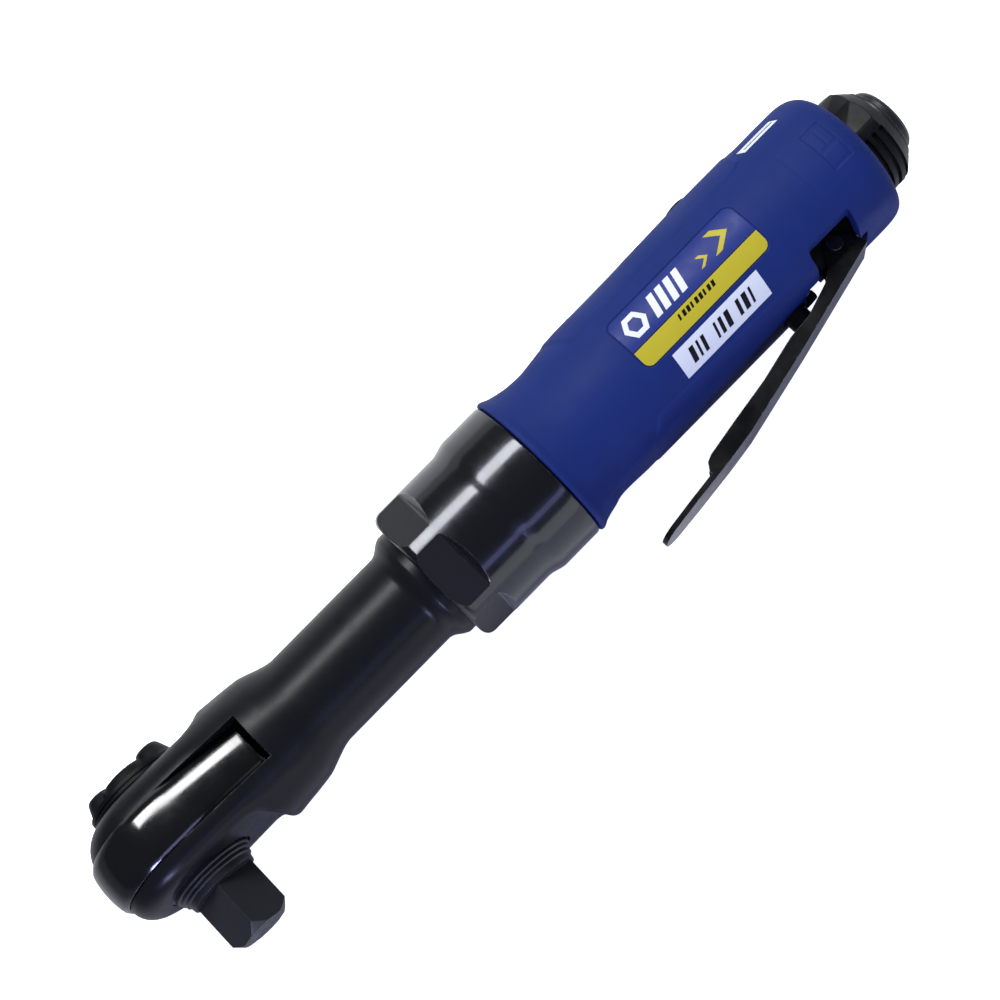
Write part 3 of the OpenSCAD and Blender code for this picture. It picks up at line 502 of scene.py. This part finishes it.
def prism(outline, z0, z1):
    """A closed block from an (x, y) outline between two heights."""
    count = len(outline)
    points = [(x, y, z) for z in (z0, z1) for x, y in outline]
    walls = [(i, (i + 1) % count, count + (i + 1) % count, count + i) for i in range(count)]
    return mesh_from("prism", points, walls + [tuple(reversed(range(count))), tuple(range(count, 2 * count))])


def drum(x, y0, y1, radius, sides=48):
    """A closed cylinder along Y."""
    turns = [2 * math.pi * k / sides for k in range(sides)]
    points = [(x + radius * math.cos(t), y, radius * math.sin(t)) for y in (y0, y1) for t in turns]
    walls = [(i, sides + i, sides + (i + 1) % sides, (i + 1) % sides) for i in range(sides)]
    return mesh_from("drum", points, walls + [tuple(range(sides)), tuple(reversed(range(sides, 2 * sides)))])


def softened(outline, radius, steps=4):
    """An outline with its corners rounded."""
    points = []
    for before, corner, after in zip(outline[-1:] + outline[:-1], outline, outline[1:] + outline[:1]):
        corner = Vector(corner)
        back, ahead = Vector(before) - corner, Vector(after) - corner
        reach = min(radius, back.length / 2.2, ahead.length / 2.2)
        start, end = corner + back.normalized() * reach, corner + ahead.normalized() * reach
        for k in range(steps + 1):
            t = k / steps
            points.append(tuple(start * (1 - t) ** 2 + corner * 2 * t * (1 - t) + end * t * t))
    return points


def lever_pocket_cutters():
    full = [(211.6, -40), (211.6, -20.2), (213.1, -18.8), (213.1, -15.8), (213.7, -14.1), (215, -13.5),
            (228.3, -13.5), (227.7, -18.6), (227.4, -40)]
    slot = [(207.8, -40), (207.8, -19.5), (213.1, -14), (213.1, -10), (229.2, -10), (230.3, -16), (230.3, -20.5),
            (228.9, -24), (228.9, -40)]
    return [prism(softened(full, 0.8), -40, 40), prism(slot, -7.1, 7.1), drum(VALVE_X, -40, 0, 4.1),
            drum(VALVE_X, 0, 40, 4.7)]


def cut(mesh, cutter):
    """Cuts a closed mesh out of another."""
    shape = bmesh.new()
    shape.from_mesh(cutter)
    bmesh.ops.recalc_face_normals(shape, faces=shape.faces)
    shape.to_mesh(cutter)
    shape.free()
    body, tool = bpy.data.objects.new("body", mesh), bpy.data.objects.new("tool", cutter)
    for thing in (body, tool):
        bpy.context.scene.collection.objects.link(thing)
    modifier = body.modifiers.new("cut", "BOOLEAN")
    modifier.operation = "DIFFERENCE"
    modifier.solver = "MANIFOLD"
    modifier.object = tool
    result = bpy.data.meshes.new_from_object(body.evaluated_get(bpy.context.evaluated_depsgraph_get()))
    bpy.data.objects.remove(body)
    bpy.data.objects.remove(tool)
    shape = bmesh.new()
    shape.from_mesh(result)
    shape.to_mesh(mesh)
    shape.free()
    bpy.data.meshes.remove(result)
    return mesh


make_grip()


# ---------------------------------------------------------------- label and stickers
def on_label_side(x, y, lift):
    """A point above the grip's label side at (x, y)."""
    turn = np.degrees(np.arcsin(np.clip(y / 22, -0.99, 0.99)))
    radius = grip_radius(np.array([x]), np.array([turn]))[0]
    return Vector((x, y, math.sqrt(radius * radius - y * y) + lift))


STRIP_TURN = 48.7


def on_side(middle, x, y, lift):
    """A point above the grip, y millimetres round from a middle direction in degrees."""
    turn = middle + math.degrees(y / 22)
    radius = grip_radius(np.array([x]), np.array([turn]))[0] + lift
    return Vector((x, radius * math.sin(math.radians(turn)), radius * math.cos(math.radians(turn))))


def on_strip_side(x, y, lift):
    return on_side(STRIP_TURN, x, y, lift)


def on_knob_side(x, y, lift):
    return on_side(85, x, y, lift)


def sheet(name, outline, slot, lift, replaced=(), thick=0.12, place=on_label_side):
    """A thin sheet with an (x, y) outline that follows the grip, lift millimetres above it."""
    shape = bmesh.new()
    shape.faces.new([shape.verts.new((x, y, 0)) for x, y in outline])
    xs, ys = [p[0] for p in outline], [p[1] for p in outline]
    planes = [((k, 0, 0), (1, 0, 0)) for k in np.arange(math.ceil(min(xs)), max(xs), 2.0)]
    planes += [((0, k, 0), (0, 1, 0)) for k in np.arange(math.ceil(min(ys)), max(ys), 0.5)]
    for point, direction in planes:
        everything = shape.verts[:] + shape.edges[:] + shape.faces[:]
        bmesh.ops.bisect_plane(shape, geom=everything, plane_co=point, plane_no=direction)
    edges = [e for e in shape.edges if e.is_boundary]
    skirt = bmesh.ops.extrude_edge_only(shape, edges=edges)["geom"]
    lowered = {v for v in skirt if isinstance(v, bmesh.types.BMVert)}
    for v in shape.verts:
        v.co = place(v.co.x, v.co.y, lift - (thick if v in lowered else 0)) * MM
    bmesh.ops.recalc_face_normals(shape, faces=shape.faces)
    outward = place(outline[0][0], outline[0][1], 1) - place(outline[0][0], outline[0][1], 0)
    if sum(f.normal.dot(outward) * f.calc_area() for f in shape.faces) < 0:
        bmesh.ops.reverse_faces(shape, faces=shape.faces)
    mesh = bpy.data.meshes.new(name)
    shape.to_mesh(mesh)
    shape.free()
    smooth(mesh)
    return add_piece(name, mesh, slot, "tool_body", replaced)


def rounded_outline(low, high, corner, steps=8):
    points = []
    for k, (cx, cy) in enumerate(((high[0] - corner, high[1] - corner), (low[0] + corner, high[1] - corner),
                                  (low[0] + corner, low[1] + corner), (high[0] - corner, low[1] + corner))):
        for i in range(steps + 1):
            t = math.pi / 2 * (k + i / steps)
            points.append((cx + corner * math.cos(t), cy + corner * math.sin(t)))
    return points


def clipped(outline, y, keep_above):
    """The part of an outline above or below a line along the tool."""
    side = 1 if keep_above else -1
    points = []
    for a, b in zip(outline, outline[1:] + outline[:1]):
        if side * (a[1] - y) >= 0:
            points.append(a)
        if (a[1] - y) * (b[1] - y) < 0:
            t = (y - a[1]) / (b[1] - a[1])
            points.append((a[0] + t * (b[0] - a[0]), y))
    return points


def leaning_bar(x0, x1, y0, y1, lean=0.3):
    """A parallelogram that leans along the tool, lean millimetres for each millimetre of height."""
    return [(x0, y0), (x1, y0), (x1 + lean * (y1 - y0), y1), (x0 + lean * (y1 - y0), y1)]


def make_label():
    edge = 0.12
    outline = rounded_outline((LABEL_LOW[0] + edge, LABEL_LOW[1] + edge), (LABEL_HIGH[0] - edge, LABEL_HIGH[1] - edge),
                              LABEL_CORNER - edge)
    sheet("label_field", clipped(outline, BAND_TOP + 0.12, True), "label_blue", -0.04, ("badge_label",))
    sheet("label_band", clipped(outline, BAND_TOP - 0.12, False), "label_yellow", -0.04, ("badge_band",))
    sheet("label_line", clipped(clipped(outline, BAND_TOP + 0.12, False), BAND_TOP - 0.12, True), "print_black", -0.04)
    # a hexagon nut in outline, then leaning bars
    nut_x, nut_y = 170.3, 3.1
    for k in range(6):
        turns = [math.radians(60 * k + t) for t in (0, 60)]
        corners = [(nut_x + r * math.cos(t), nut_y + r * math.sin(t)) for r, t in
                   ((3.7, turns[0]), (3.7, turns[1]), (2.1, turns[1]), (2.1, turns[0]))]
        sheet(f"label_nut_{k}", corners, "print_white", 0.0, thick=0.03)
    for k in range(4):
        x = 175.2 + 2.9 * k
        sheet(f"label_bar_{k}", leaning_bar(x, x + 1.9, 0.0, 6.2), "print_white", 0.0, thick=0.03)
    # two yellow chevrons that grow towards the rear
    for k, (x, y, size) in enumerate(((191.4, 0.7, 3.0), (196.2, 0.4, 5.6))):
        tip, depth, width = (x + 1.25 * size, y + 0.55 * size), size * 0.55, 0.42 * size
        arms = [(x, y), (x + width, y), tip, (x + width + 0.25 * size, y + depth * 2), (x + 0.25 * size, y + depth * 2),
                (tip[0] - width, tip[1])]
        sheet(f"label_chevron_{k}", arms, "label_yellow", 0.0, thick=0.03)
    for k in range(9):
        x = 178.5 + 1.45 * k
        sheet(f"band_bar_{k}", leaning_bar(x, x + (0.95 if k % 3 else 0.6), -4.4, -2.9), "print_black", 0.0, thick=0.03)


def make_sticker():
    sheet("sticker_face", STICKER, "sticker_white", 0.05, ("rating_sticker",))
    x = 174.0
    for k in range(11):
        wide = (1.5, 0.7, 1.1)[k % 3]
        if k not in (3, 7):
            sheet(f"sticker_bar_{k}", leaning_bar(x, x + wide, -13.6, -10.2), "print_black", 0.09, thick=0.03)
        x += wide + 0.95


def make_side_strip():
    outline = [(222.5, -1.45), (234.2, -1.45), (233.0, 1.45), (221.3, 1.45)]
    sheet("side_strip", outline, "sticker_white", 0.04, ("side_sticker",), place=on_strip_side)
    line = [(223.2, -0.25), (233.2, -0.25), (233.0, 0.15), (223.0, 0.15)]
    sheet("side_strip_line", line, "print_black", 0.07, thick=0.03, place=on_strip_side)


def make_knob_side_sticker():
    """The edge of a pale sticker on the knob side, with plain bars on it."""
    sheet("knob_side_sticker", rounded_outline((162, -6.9), (181.5, 6.9), 1), "sticker_white", 0.05,
          place=on_knob_side)
    for x in (165, 169, 173):
        bar = [(x, -3.5), (x + 2.6, -3.5), (x + 2.6, 4.5), (x, 4.5)]
        sheet(f"knob_side_bar_{x}", bar, "print_black", 0.08, thick=0.03, place=on_knob_side)


make_label()
make_sticker()
make_side_strip()
make_knob_side_sticker()


# ---------------------------------------------------------------- pieces that move
def make_knob():
    """Reversing knob: a round base with a bar across it that swells into two humps."""
    rings = fine_steps([(0, 0.3), (14, 1)])
    turns = np.radians(np.arange(0, 360, 3))
    rho, turn = np.meshgrid(rings[1:], turns, indexing="ij")
    x, z = rho * np.cos(turn), rho * np.sin(turn)

    def top(x, z):
        base = 16.7 - 0.35 * step(np.hypot(x, z), 12.6, 14)
        middle = np.hypot(x, z * 1.0) - 8.4
        lobe = np.hypot(np.abs(x) - 8.4, z * 0.95) - 5.2
        hump = 22.1 - 0.035 * (lobe + 5.2) ** 2
        low = 20.55 * step(-middle, -0.5, 1.5) + base * (1 - step(-middle, -0.5, 1.5))
        high = hump * step(-lobe, -0.6, 2.2) + base * (1 - step(-lobe, -0.6, 2.2))
        k = 0.7
        h = np.clip(0.5 + 0.5 * (high - low) / k, 0, 1)
        return low * (1 - h) + high * h + k * h * (1 - h)

    tops = np.stack([x, top(x, z), z], axis=2)
    wall = []
    for radius, height in ((14.0, 16.2), (14.0, 15.5), (13.75, 15.35), (13.75, 15.1), (14.0, 14.95), (14.0, 14.32),
                           (11.3, 14.32)):
        wall.append(np.stack([radius * np.cos(turns), np.full(len(turns), height), radius * np.sin(turns)], axis=1))
    grid = np.concatenate([tops, np.array(wall)])
    count = len(turns)
    points = [(0.0, float(top(np.array(0.0), np.array(0.0))), 0.0)] + [tuple(p) for p in grid.reshape(-1, 3)]
    faces = [(0, 1 + (j + 1) % count, 1 + j) for j in range(count)]
    for i in range(len(grid) - 1):
        for j in range(count):
            a, b = 1 + i * count + j, 1 + i * count + (j + 1) % count
            faces.append((a, b, b + count, a + count))
    mesh = mesh_from("knob_look", points, faces)
    smooth(mesh, math.radians(50))
    return mesh


# the forged housing: two ears that flow into a round neck
EAR_R, EAR_TOP, EAR_BOTTOM = 20.8, 14.1, 12.5
SLOT_TOP, SLOT_BOTTOM, SLOT_END = 7.3, 6.6, 32.6
EAR_TAPER = math.radians(5.9)
SHOULDER_R = 18.3
NECK = [(0, 18.3), (25, 18.3), (28.5, 18), (37.6, 17), (38.9, 16.65), (40.3, 16.15), (44.3, 14.75), (46, 14.3),
        (47.8, 14.1), (50, 14.1), (83, 14.1), (84, 14.3), (87, 16.2), (88.2, 16.7), (93, 16.7)]
NECK_STEP = 93


def higher_of(a, b, radius):
    return -lower_of(-a, -b, radius)


def housing_distance(x, y, z):
    """Roughly the distance outside the housing's forged skin, negative inside."""
    side = np.abs(z) * math.cos(EAR_TAPER) + x * math.sin(EAR_TAPER) - EAR_R
    plan = np.where(x > EAR_R * math.sin(EAR_TAPER), side, np.hypot(x, z) - EAR_R)
    reach = np.where(y > 0, 7.9, 5.8)
    rise = np.where(y > 0, 8.4, 5.8)
    face = np.where(y > 0, EAR_TOP, EAR_BOTTOM)
    height = np.abs(y) - (face - rise)
    rounding = (np.hypot(np.maximum(plan + reach, 0) / reach, np.maximum(height, 0) / rise) - 1) * rise
    ears = np.where((plan > -reach) & (height > 0), rounding, np.maximum(plan, height - rise))
    trim = SHOULDER_R + 2.6 * (1 + np.cos(math.pi * np.clip((x - 12) / 16.5, 0, 1)))
    ears = higher_of(ears, np.hypot(y, z) - trim, 2.5)
    neck_r = curve(NECK, x)
    neck = np.hypot(y, z) - neck_r
    away = np.hypot(x, z) - 23
    spot = np.minimum(-away, np.abs(y) - face)
    neck = higher_of(neck, spot, 3.5)
    neck = np.maximum(neck, 6 - x)
    ears = higher_of(ears, x - 34, 6)
    return lower_of(ears, neck, 2.2)


def make_housing():
    turns = np.radians(np.arange(0, 360, 2))
    along = fine_steps([(6, 0.4), (50, 1.0), (82, 0.3), (88.5, 0.7), (NECK_STEP, 1)])
    stations = [("axis", x) for x in along[::-1]]
    stations += [("nose", b) for b in np.radians(np.arange(1.5, 89, 1.5))]
    rings = []
    for kind, value in stations:
        if kind == "axis":
            start, forward, out = value, 0.0, 1.0
        else:
            start, forward, out = 6.0, -math.sin(value), math.cos(value)
        low, high = np.full(len(turns), 2.0), np.full(len(turns), 40.0)
        for _ in range(36):
            middle = (low + high) / 2
            inside = housing_distance(start + forward * middle, out * middle * np.sin(turns),
                                      out * middle * np.cos(turns)) < 0
            low, high = np.where(inside, middle, low), np.where(inside, high, middle)
        rings.append(np.stack([start + forward * low, out * low * np.sin(turns), out * low * np.cos(turns)], axis=1))
    rear = [np.stack([np.full(len(turns), x), r * np.sin(turns), r * np.cos(turns)], axis=1)
            for x, r in ((99.3, 9.51), (99.3, 15.2), (NECK_STEP, 15.2))]
    grid = np.concatenate([np.array(rear), np.array(rings)])
    count, last = len(turns), len(grid) - 1
    tip = len(grid) * count
    points = [tuple(p) for p in grid.reshape(-1, 3)] + [(-EAR_R, 0.0, 0.0), (99.3, 0.0, 0.0)]
    faces = [(i * count + j, i * count + (j + 1) % count, (i + 1) * count + (j + 1) % count, (i + 1) * count + j)
             for i in range(last) for j in range(count)]
    faces += [(last * count + j, last * count + (j + 1) % count, tip) for j in range(count)]
    faces += [((j + 1) % count, j, tip + 1) for j in range(count)]
    mesh = mesh_from("housing_look", points, faces)
    bore = drum(0, -40, 0, 12.45, 96)
    slot = prism([(-40, -SLOT_BOTTOM), (SLOT_END, -SLOT_BOTTOM), (SLOT_END, SLOT_TOP), (-40, SLOT_TOP)], -40, 40)
    crank_room = drum(0, 17, 120, 9.5, 72)
    crank_room.transform(Matrix.Rotation(math.radians(-90), 4, "Z"))
    for cutter in (slot, bore, drum(0, -1, 40, 9.0, 72), crank_room):
        cut(mesh, cutter)
    smooth(mesh, math.radians(38))
    add_piece("housing_look", mesh, "forged_black", "tool_body", ("ratchet_housing",))


def make_valve_spring():
    """The spring behind the throttle valve (on the tool it shortens as the valve opens), as a copy with a mesh of its
    own that rides the tool body.
    """
    mesh = nodes["valve_spring"].data.copy()
    piece = add_piece("valve_spring_look", mesh, "bright_steel", "tool_body", ("valve_spring",))
    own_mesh(piece)


def turned(outline, columns=180):
    """A closed ring turned about the long axis from a closed (x, radius) outline."""
    turns = [2 * math.pi * k / columns for k in range(columns)]
    points = [(x, r * math.sin(t), r * math.cos(t)) for x, r in outline for t in turns]
    rows = len(outline)
    faces = [(i * columns + k, ((i + 1) % rows) * columns + k, ((i + 1) % rows) * columns + (k + 1) % columns,
              i * columns + (k + 1) % columns) for i in range(rows) for k in range(columns)]
    mesh = mesh_from("turned", points, faces)
    shape = bmesh.new()
    shape.from_mesh(mesh)
    bmesh.ops.recalc_face_normals(shape, faces=shape.faces)
    shape.to_mesh(mesh)
    shape.free()
    return mesh


NUT_AF = 38.1
NUT_FIRST_FLAT = 21.5       # direction of the first flat's middle, in degrees towards the drive side


def make_nut():
    nose = [(90 + 3 * (1 - math.cos(a)), 18.1 + 3 * math.sin(a)) for a in np.radians(np.arange(0, 91, 10))]
    body = [(x, 21.1) for x in np.arange(94, 112.4, 2.0)]
    skirt = [(x, curve([(112.4, 21.1), (113, 21.18), (116.6, 22.12), (117.2, 22.2)], x)) for x in np.arange(112.4, 117.3, 0.4)]
    rear = [(120, 22.2), (123, 22.2), (126, 22.2), (128.8, 22.2), (129.3, 22.05), (129.6, 21.6)]
    inside = [(129.6, 19.65), (104.5, 19.65), (104.5, 17.62), (93.1, 17.62), (93.1, 16.86), (90, 16.86)]
    mesh = turned(nose + body + skirt + rear + inside)
    half = NUT_AF / 2
    outline = [(85, half), (99.6, half), (100.2, half + 0.3), (101.9, half + 2.3), (102.2, half + 3), (102.2, 40), (85, 40)]
    for k in range(6):
        flat = prism(outline, -30, 30)
        flat.transform(Matrix.Rotation(math.radians(90 + NUT_FIRST_FLAT + 60 * k), 4, "X"))
        cut(mesh, flat)
    smooth(mesh, math.radians(20))
    nut = add_piece("clamp_nut_look", mesh, "nut_steel", "tool_body", ("clamp_nut",))
    nut.data.materials.append(milled_black())
    for face in nut.data.polygons:
        turn = math.degrees(math.atan2(face.normal.y, face.normal.z))
        off = abs((turn + NUT_FIRST_FLAT + 30) % 60 - 30)
        if abs(face.normal.x) < 0.02 and off < 0.5 and face.center.x < 0.1022 and face.area > 0.000004:
            face.material_index = 1


knob_mesh = make_knob()
add_piece("knob_look", knob_mesh, "black_plastic", "knob", ("reverse_knob",))
rounded("throttle_lever", "lever_black", "lever", 0.4, 3)
make_housing()
rounded("ratchet_yoke", "polished_black", "yoke", 0.35, 2, weld=0.06)
rounded("drive_anvil", "dark_steel", "anvil", 0.3, 2)
make_nut()
make_valve_spring()
rounded("exhaust_deflector", "black_plastic", "deflector", 0.35, 2)
rounded("inlet_bushing", "dark_steel", "tool_body", 0.25, 2)
rounded("air_regulator", "black_plastic", "regulator", 0.25, 2)
# the pin takes the nut's steel so that its lighter edges paint a highlight ring round its head
rounded("lever_pin", "nut_steel", "tool_body", 0.3, 3)


# ---------------------------------------------------------------- stage
def make_stage():
    floor_z = cad_low.z - 0.0004
    mesh = bpy.data.meshes.new("floor")
    size = 3.0
    mesh.from_pydata([(-size, -size, floor_z), (size, -size, floor_z), (size, size, floor_z), (-size, size, floor_z)],
                     [], [(0, 1, 2, 3)])
    floor = bpy.data.objects.new("floor", mesh)
    bpy.context.scene.collection.objects.link(floor)
    look = Look("floor", (0.86, 0.86, 0.87), 0.7, 0.0, 0.0)
    pale = look.mix(look.noise(40, 3), (0.87, 0.87, 0.88), (0.90, 0.90, 0.91))
    path = look.nodes.new("ShaderNodeLightPath")
    place = look.nodes.new("ShaderNodeSeparateXYZ")
    look.links.new(look.nodes.new("ShaderNodeNewGeometry").outputs["Position"], place.inputs[0])
    seen = look.mix(look.span(place.outputs["X"], -0.12, 0.04), (0.1, 0.1, 0.1), (0.75, 0.76, 0.77))
    look.set(look.shader, "Base Color", look.mix(path.outputs["Is Glossy Ray"], pale, seen))
    look.set(look.shader, "Emission Color", (1, 1, 1, 1))
    look.set(look.shader, "Emission Strength", look.math("MULTIPLY", path.outputs["Is Camera Ray"], 0.85))
    mesh.materials.append(look.done())


def soft_light(name, place, aim, size, power, colour=(1, 1, 1)):
    data = bpy.data.lights.new(name, "AREA")
    data.shape = "RECTANGLE"
    data.size, data.size_y = size
    data.energy = power
    data.color = colour
    light = bpy.data.objects.new(name, data)
    bpy.context.scene.collection.objects.link(light)
    light.location = place
    light.rotation_euler = (Vector(aim) - Vector(place)).to_track_quat("-Z", "Y").to_euler()
    return light


def along_tool(direction, distance, x=0.1):
    """A place at a distance from the tool, in a direction given in degrees from the label side towards the knob."""
    t = math.radians(direction)
    return (x, distance * math.sin(t), distance * math.cos(t))


def make_world():
    """Bright to the eye and as diffuse light, but dark overhead in reflections, like a studio with black flags."""
    world = bpy.data.worlds.new("studio")
    bpy.context.scene.world = world
    world.use_nodes = True
    tree = world.node_tree
    background = tree.nodes["Background"]
    background.inputs["Color"].default_value = (0.96, 0.98, 1.0, 1)
    path = tree.nodes.new("ShaderNodeLightPath")
    strength = tree.nodes.new("ShaderNodeMapRange")
    strength.inputs["To Min"].default_value = 0.29
    strength.inputs["To Max"].default_value = 0.03
    tree.links.new(path.outputs["Is Glossy Ray"], strength.inputs["Value"])
    seen = tree.nodes.new("ShaderNodeMath")
    seen.operation = "MAXIMUM"
    tree.links.new(path.outputs["Is Camera Ray"], seen.inputs[0])
    tree.links.new(strength.outputs["Result"], seen.inputs[1])
    tree.links.new(seen.outputs[0], background.inputs["Strength"])


def make_lights():
    make_world()
    middle = (0.1, 0, 0)
    soft_light("key", along_tool(31.7, 0.85, 0.18), (0.18, 0, 0), (0.9, 0.22), 10)
    soft_light("blue_strip", along_tool(-56, 0.9), middle, (1.0, 0.12), 1.1, (0.45, 0.5, 1.0))
    soft_light("lower", along_tool(-90, 0.8), middle, (0.9, 0.5), 2.1, (0.95, 1.0, 0.98))
    soft_light("far", along_tool(86, 0.8), middle, (0.9, 0.3), 0.5, (0.97, 0.98, 1.0))
    soft_light("corner", (-0.35, -0.576, 0.245), (0, 0, 0), (0.16, 0.10), 3.0, (0.5, 0.52, 1.0))


# the camera: a 66.6 mm lens 0.472 m from the tool's axis, 13.5 degrees round towards the lever side,
# yawed 3 degrees along the tool and rolled so that the tool rises to the right
CAMERA_PLACE = Vector((0.09199, -0.11015, 0.45882))
CAMERA_ROUND = math.radians(13.5)
CAMERA_YAW = math.radians(3.05)
CAMERA_PITCH = 0.00297
CAMERA_ROLL = math.radians(45.43)


def make_camera():
    down_tool = Vector((0, -math.cos(CAMERA_ROUND), -math.sin(CAMERA_ROUND)))
    into = Vector((0, math.sin(CAMERA_ROUND), -math.cos(CAMERA_ROUND)))
    along = Vector((1, 0, 0))
    right = math.cos(CAMERA_YAW) * along - math.sin(CAMERA_YAW) * into
    ahead = math.cos(CAMERA_YAW) * into + math.sin(CAMERA_YAW) * along
    forward = math.cos(CAMERA_PITCH) * ahead - math.sin(CAMERA_PITCH) * down_tool
    down = math.cos(CAMERA_PITCH) * down_tool + math.sin(CAMERA_PITCH) * ahead
    image_right = math.cos(CAMERA_ROLL) * right + math.sin(CAMERA_ROLL) * down
    image_up = math.sin(CAMERA_ROLL) * right - math.cos(CAMERA_ROLL) * down
    data = bpy.data.cameras.new("camera")
    data.lens = 66.6
    data.sensor_width = 36
    camera = bpy.data.objects.new("camera", data)
    bpy.context.scene.collection.objects.link(camera)
    turn = Matrix((image_right, image_up, -forward)).transposed()
    camera.matrix_world = Matrix.Translation(CAMERA_PLACE) @ turn.to_4x4()
    bpy.context.scene.camera = camera


make_stage()
make_lights()
make_camera()
bpy.context.scene.view_settings.view_transform = "Standard"
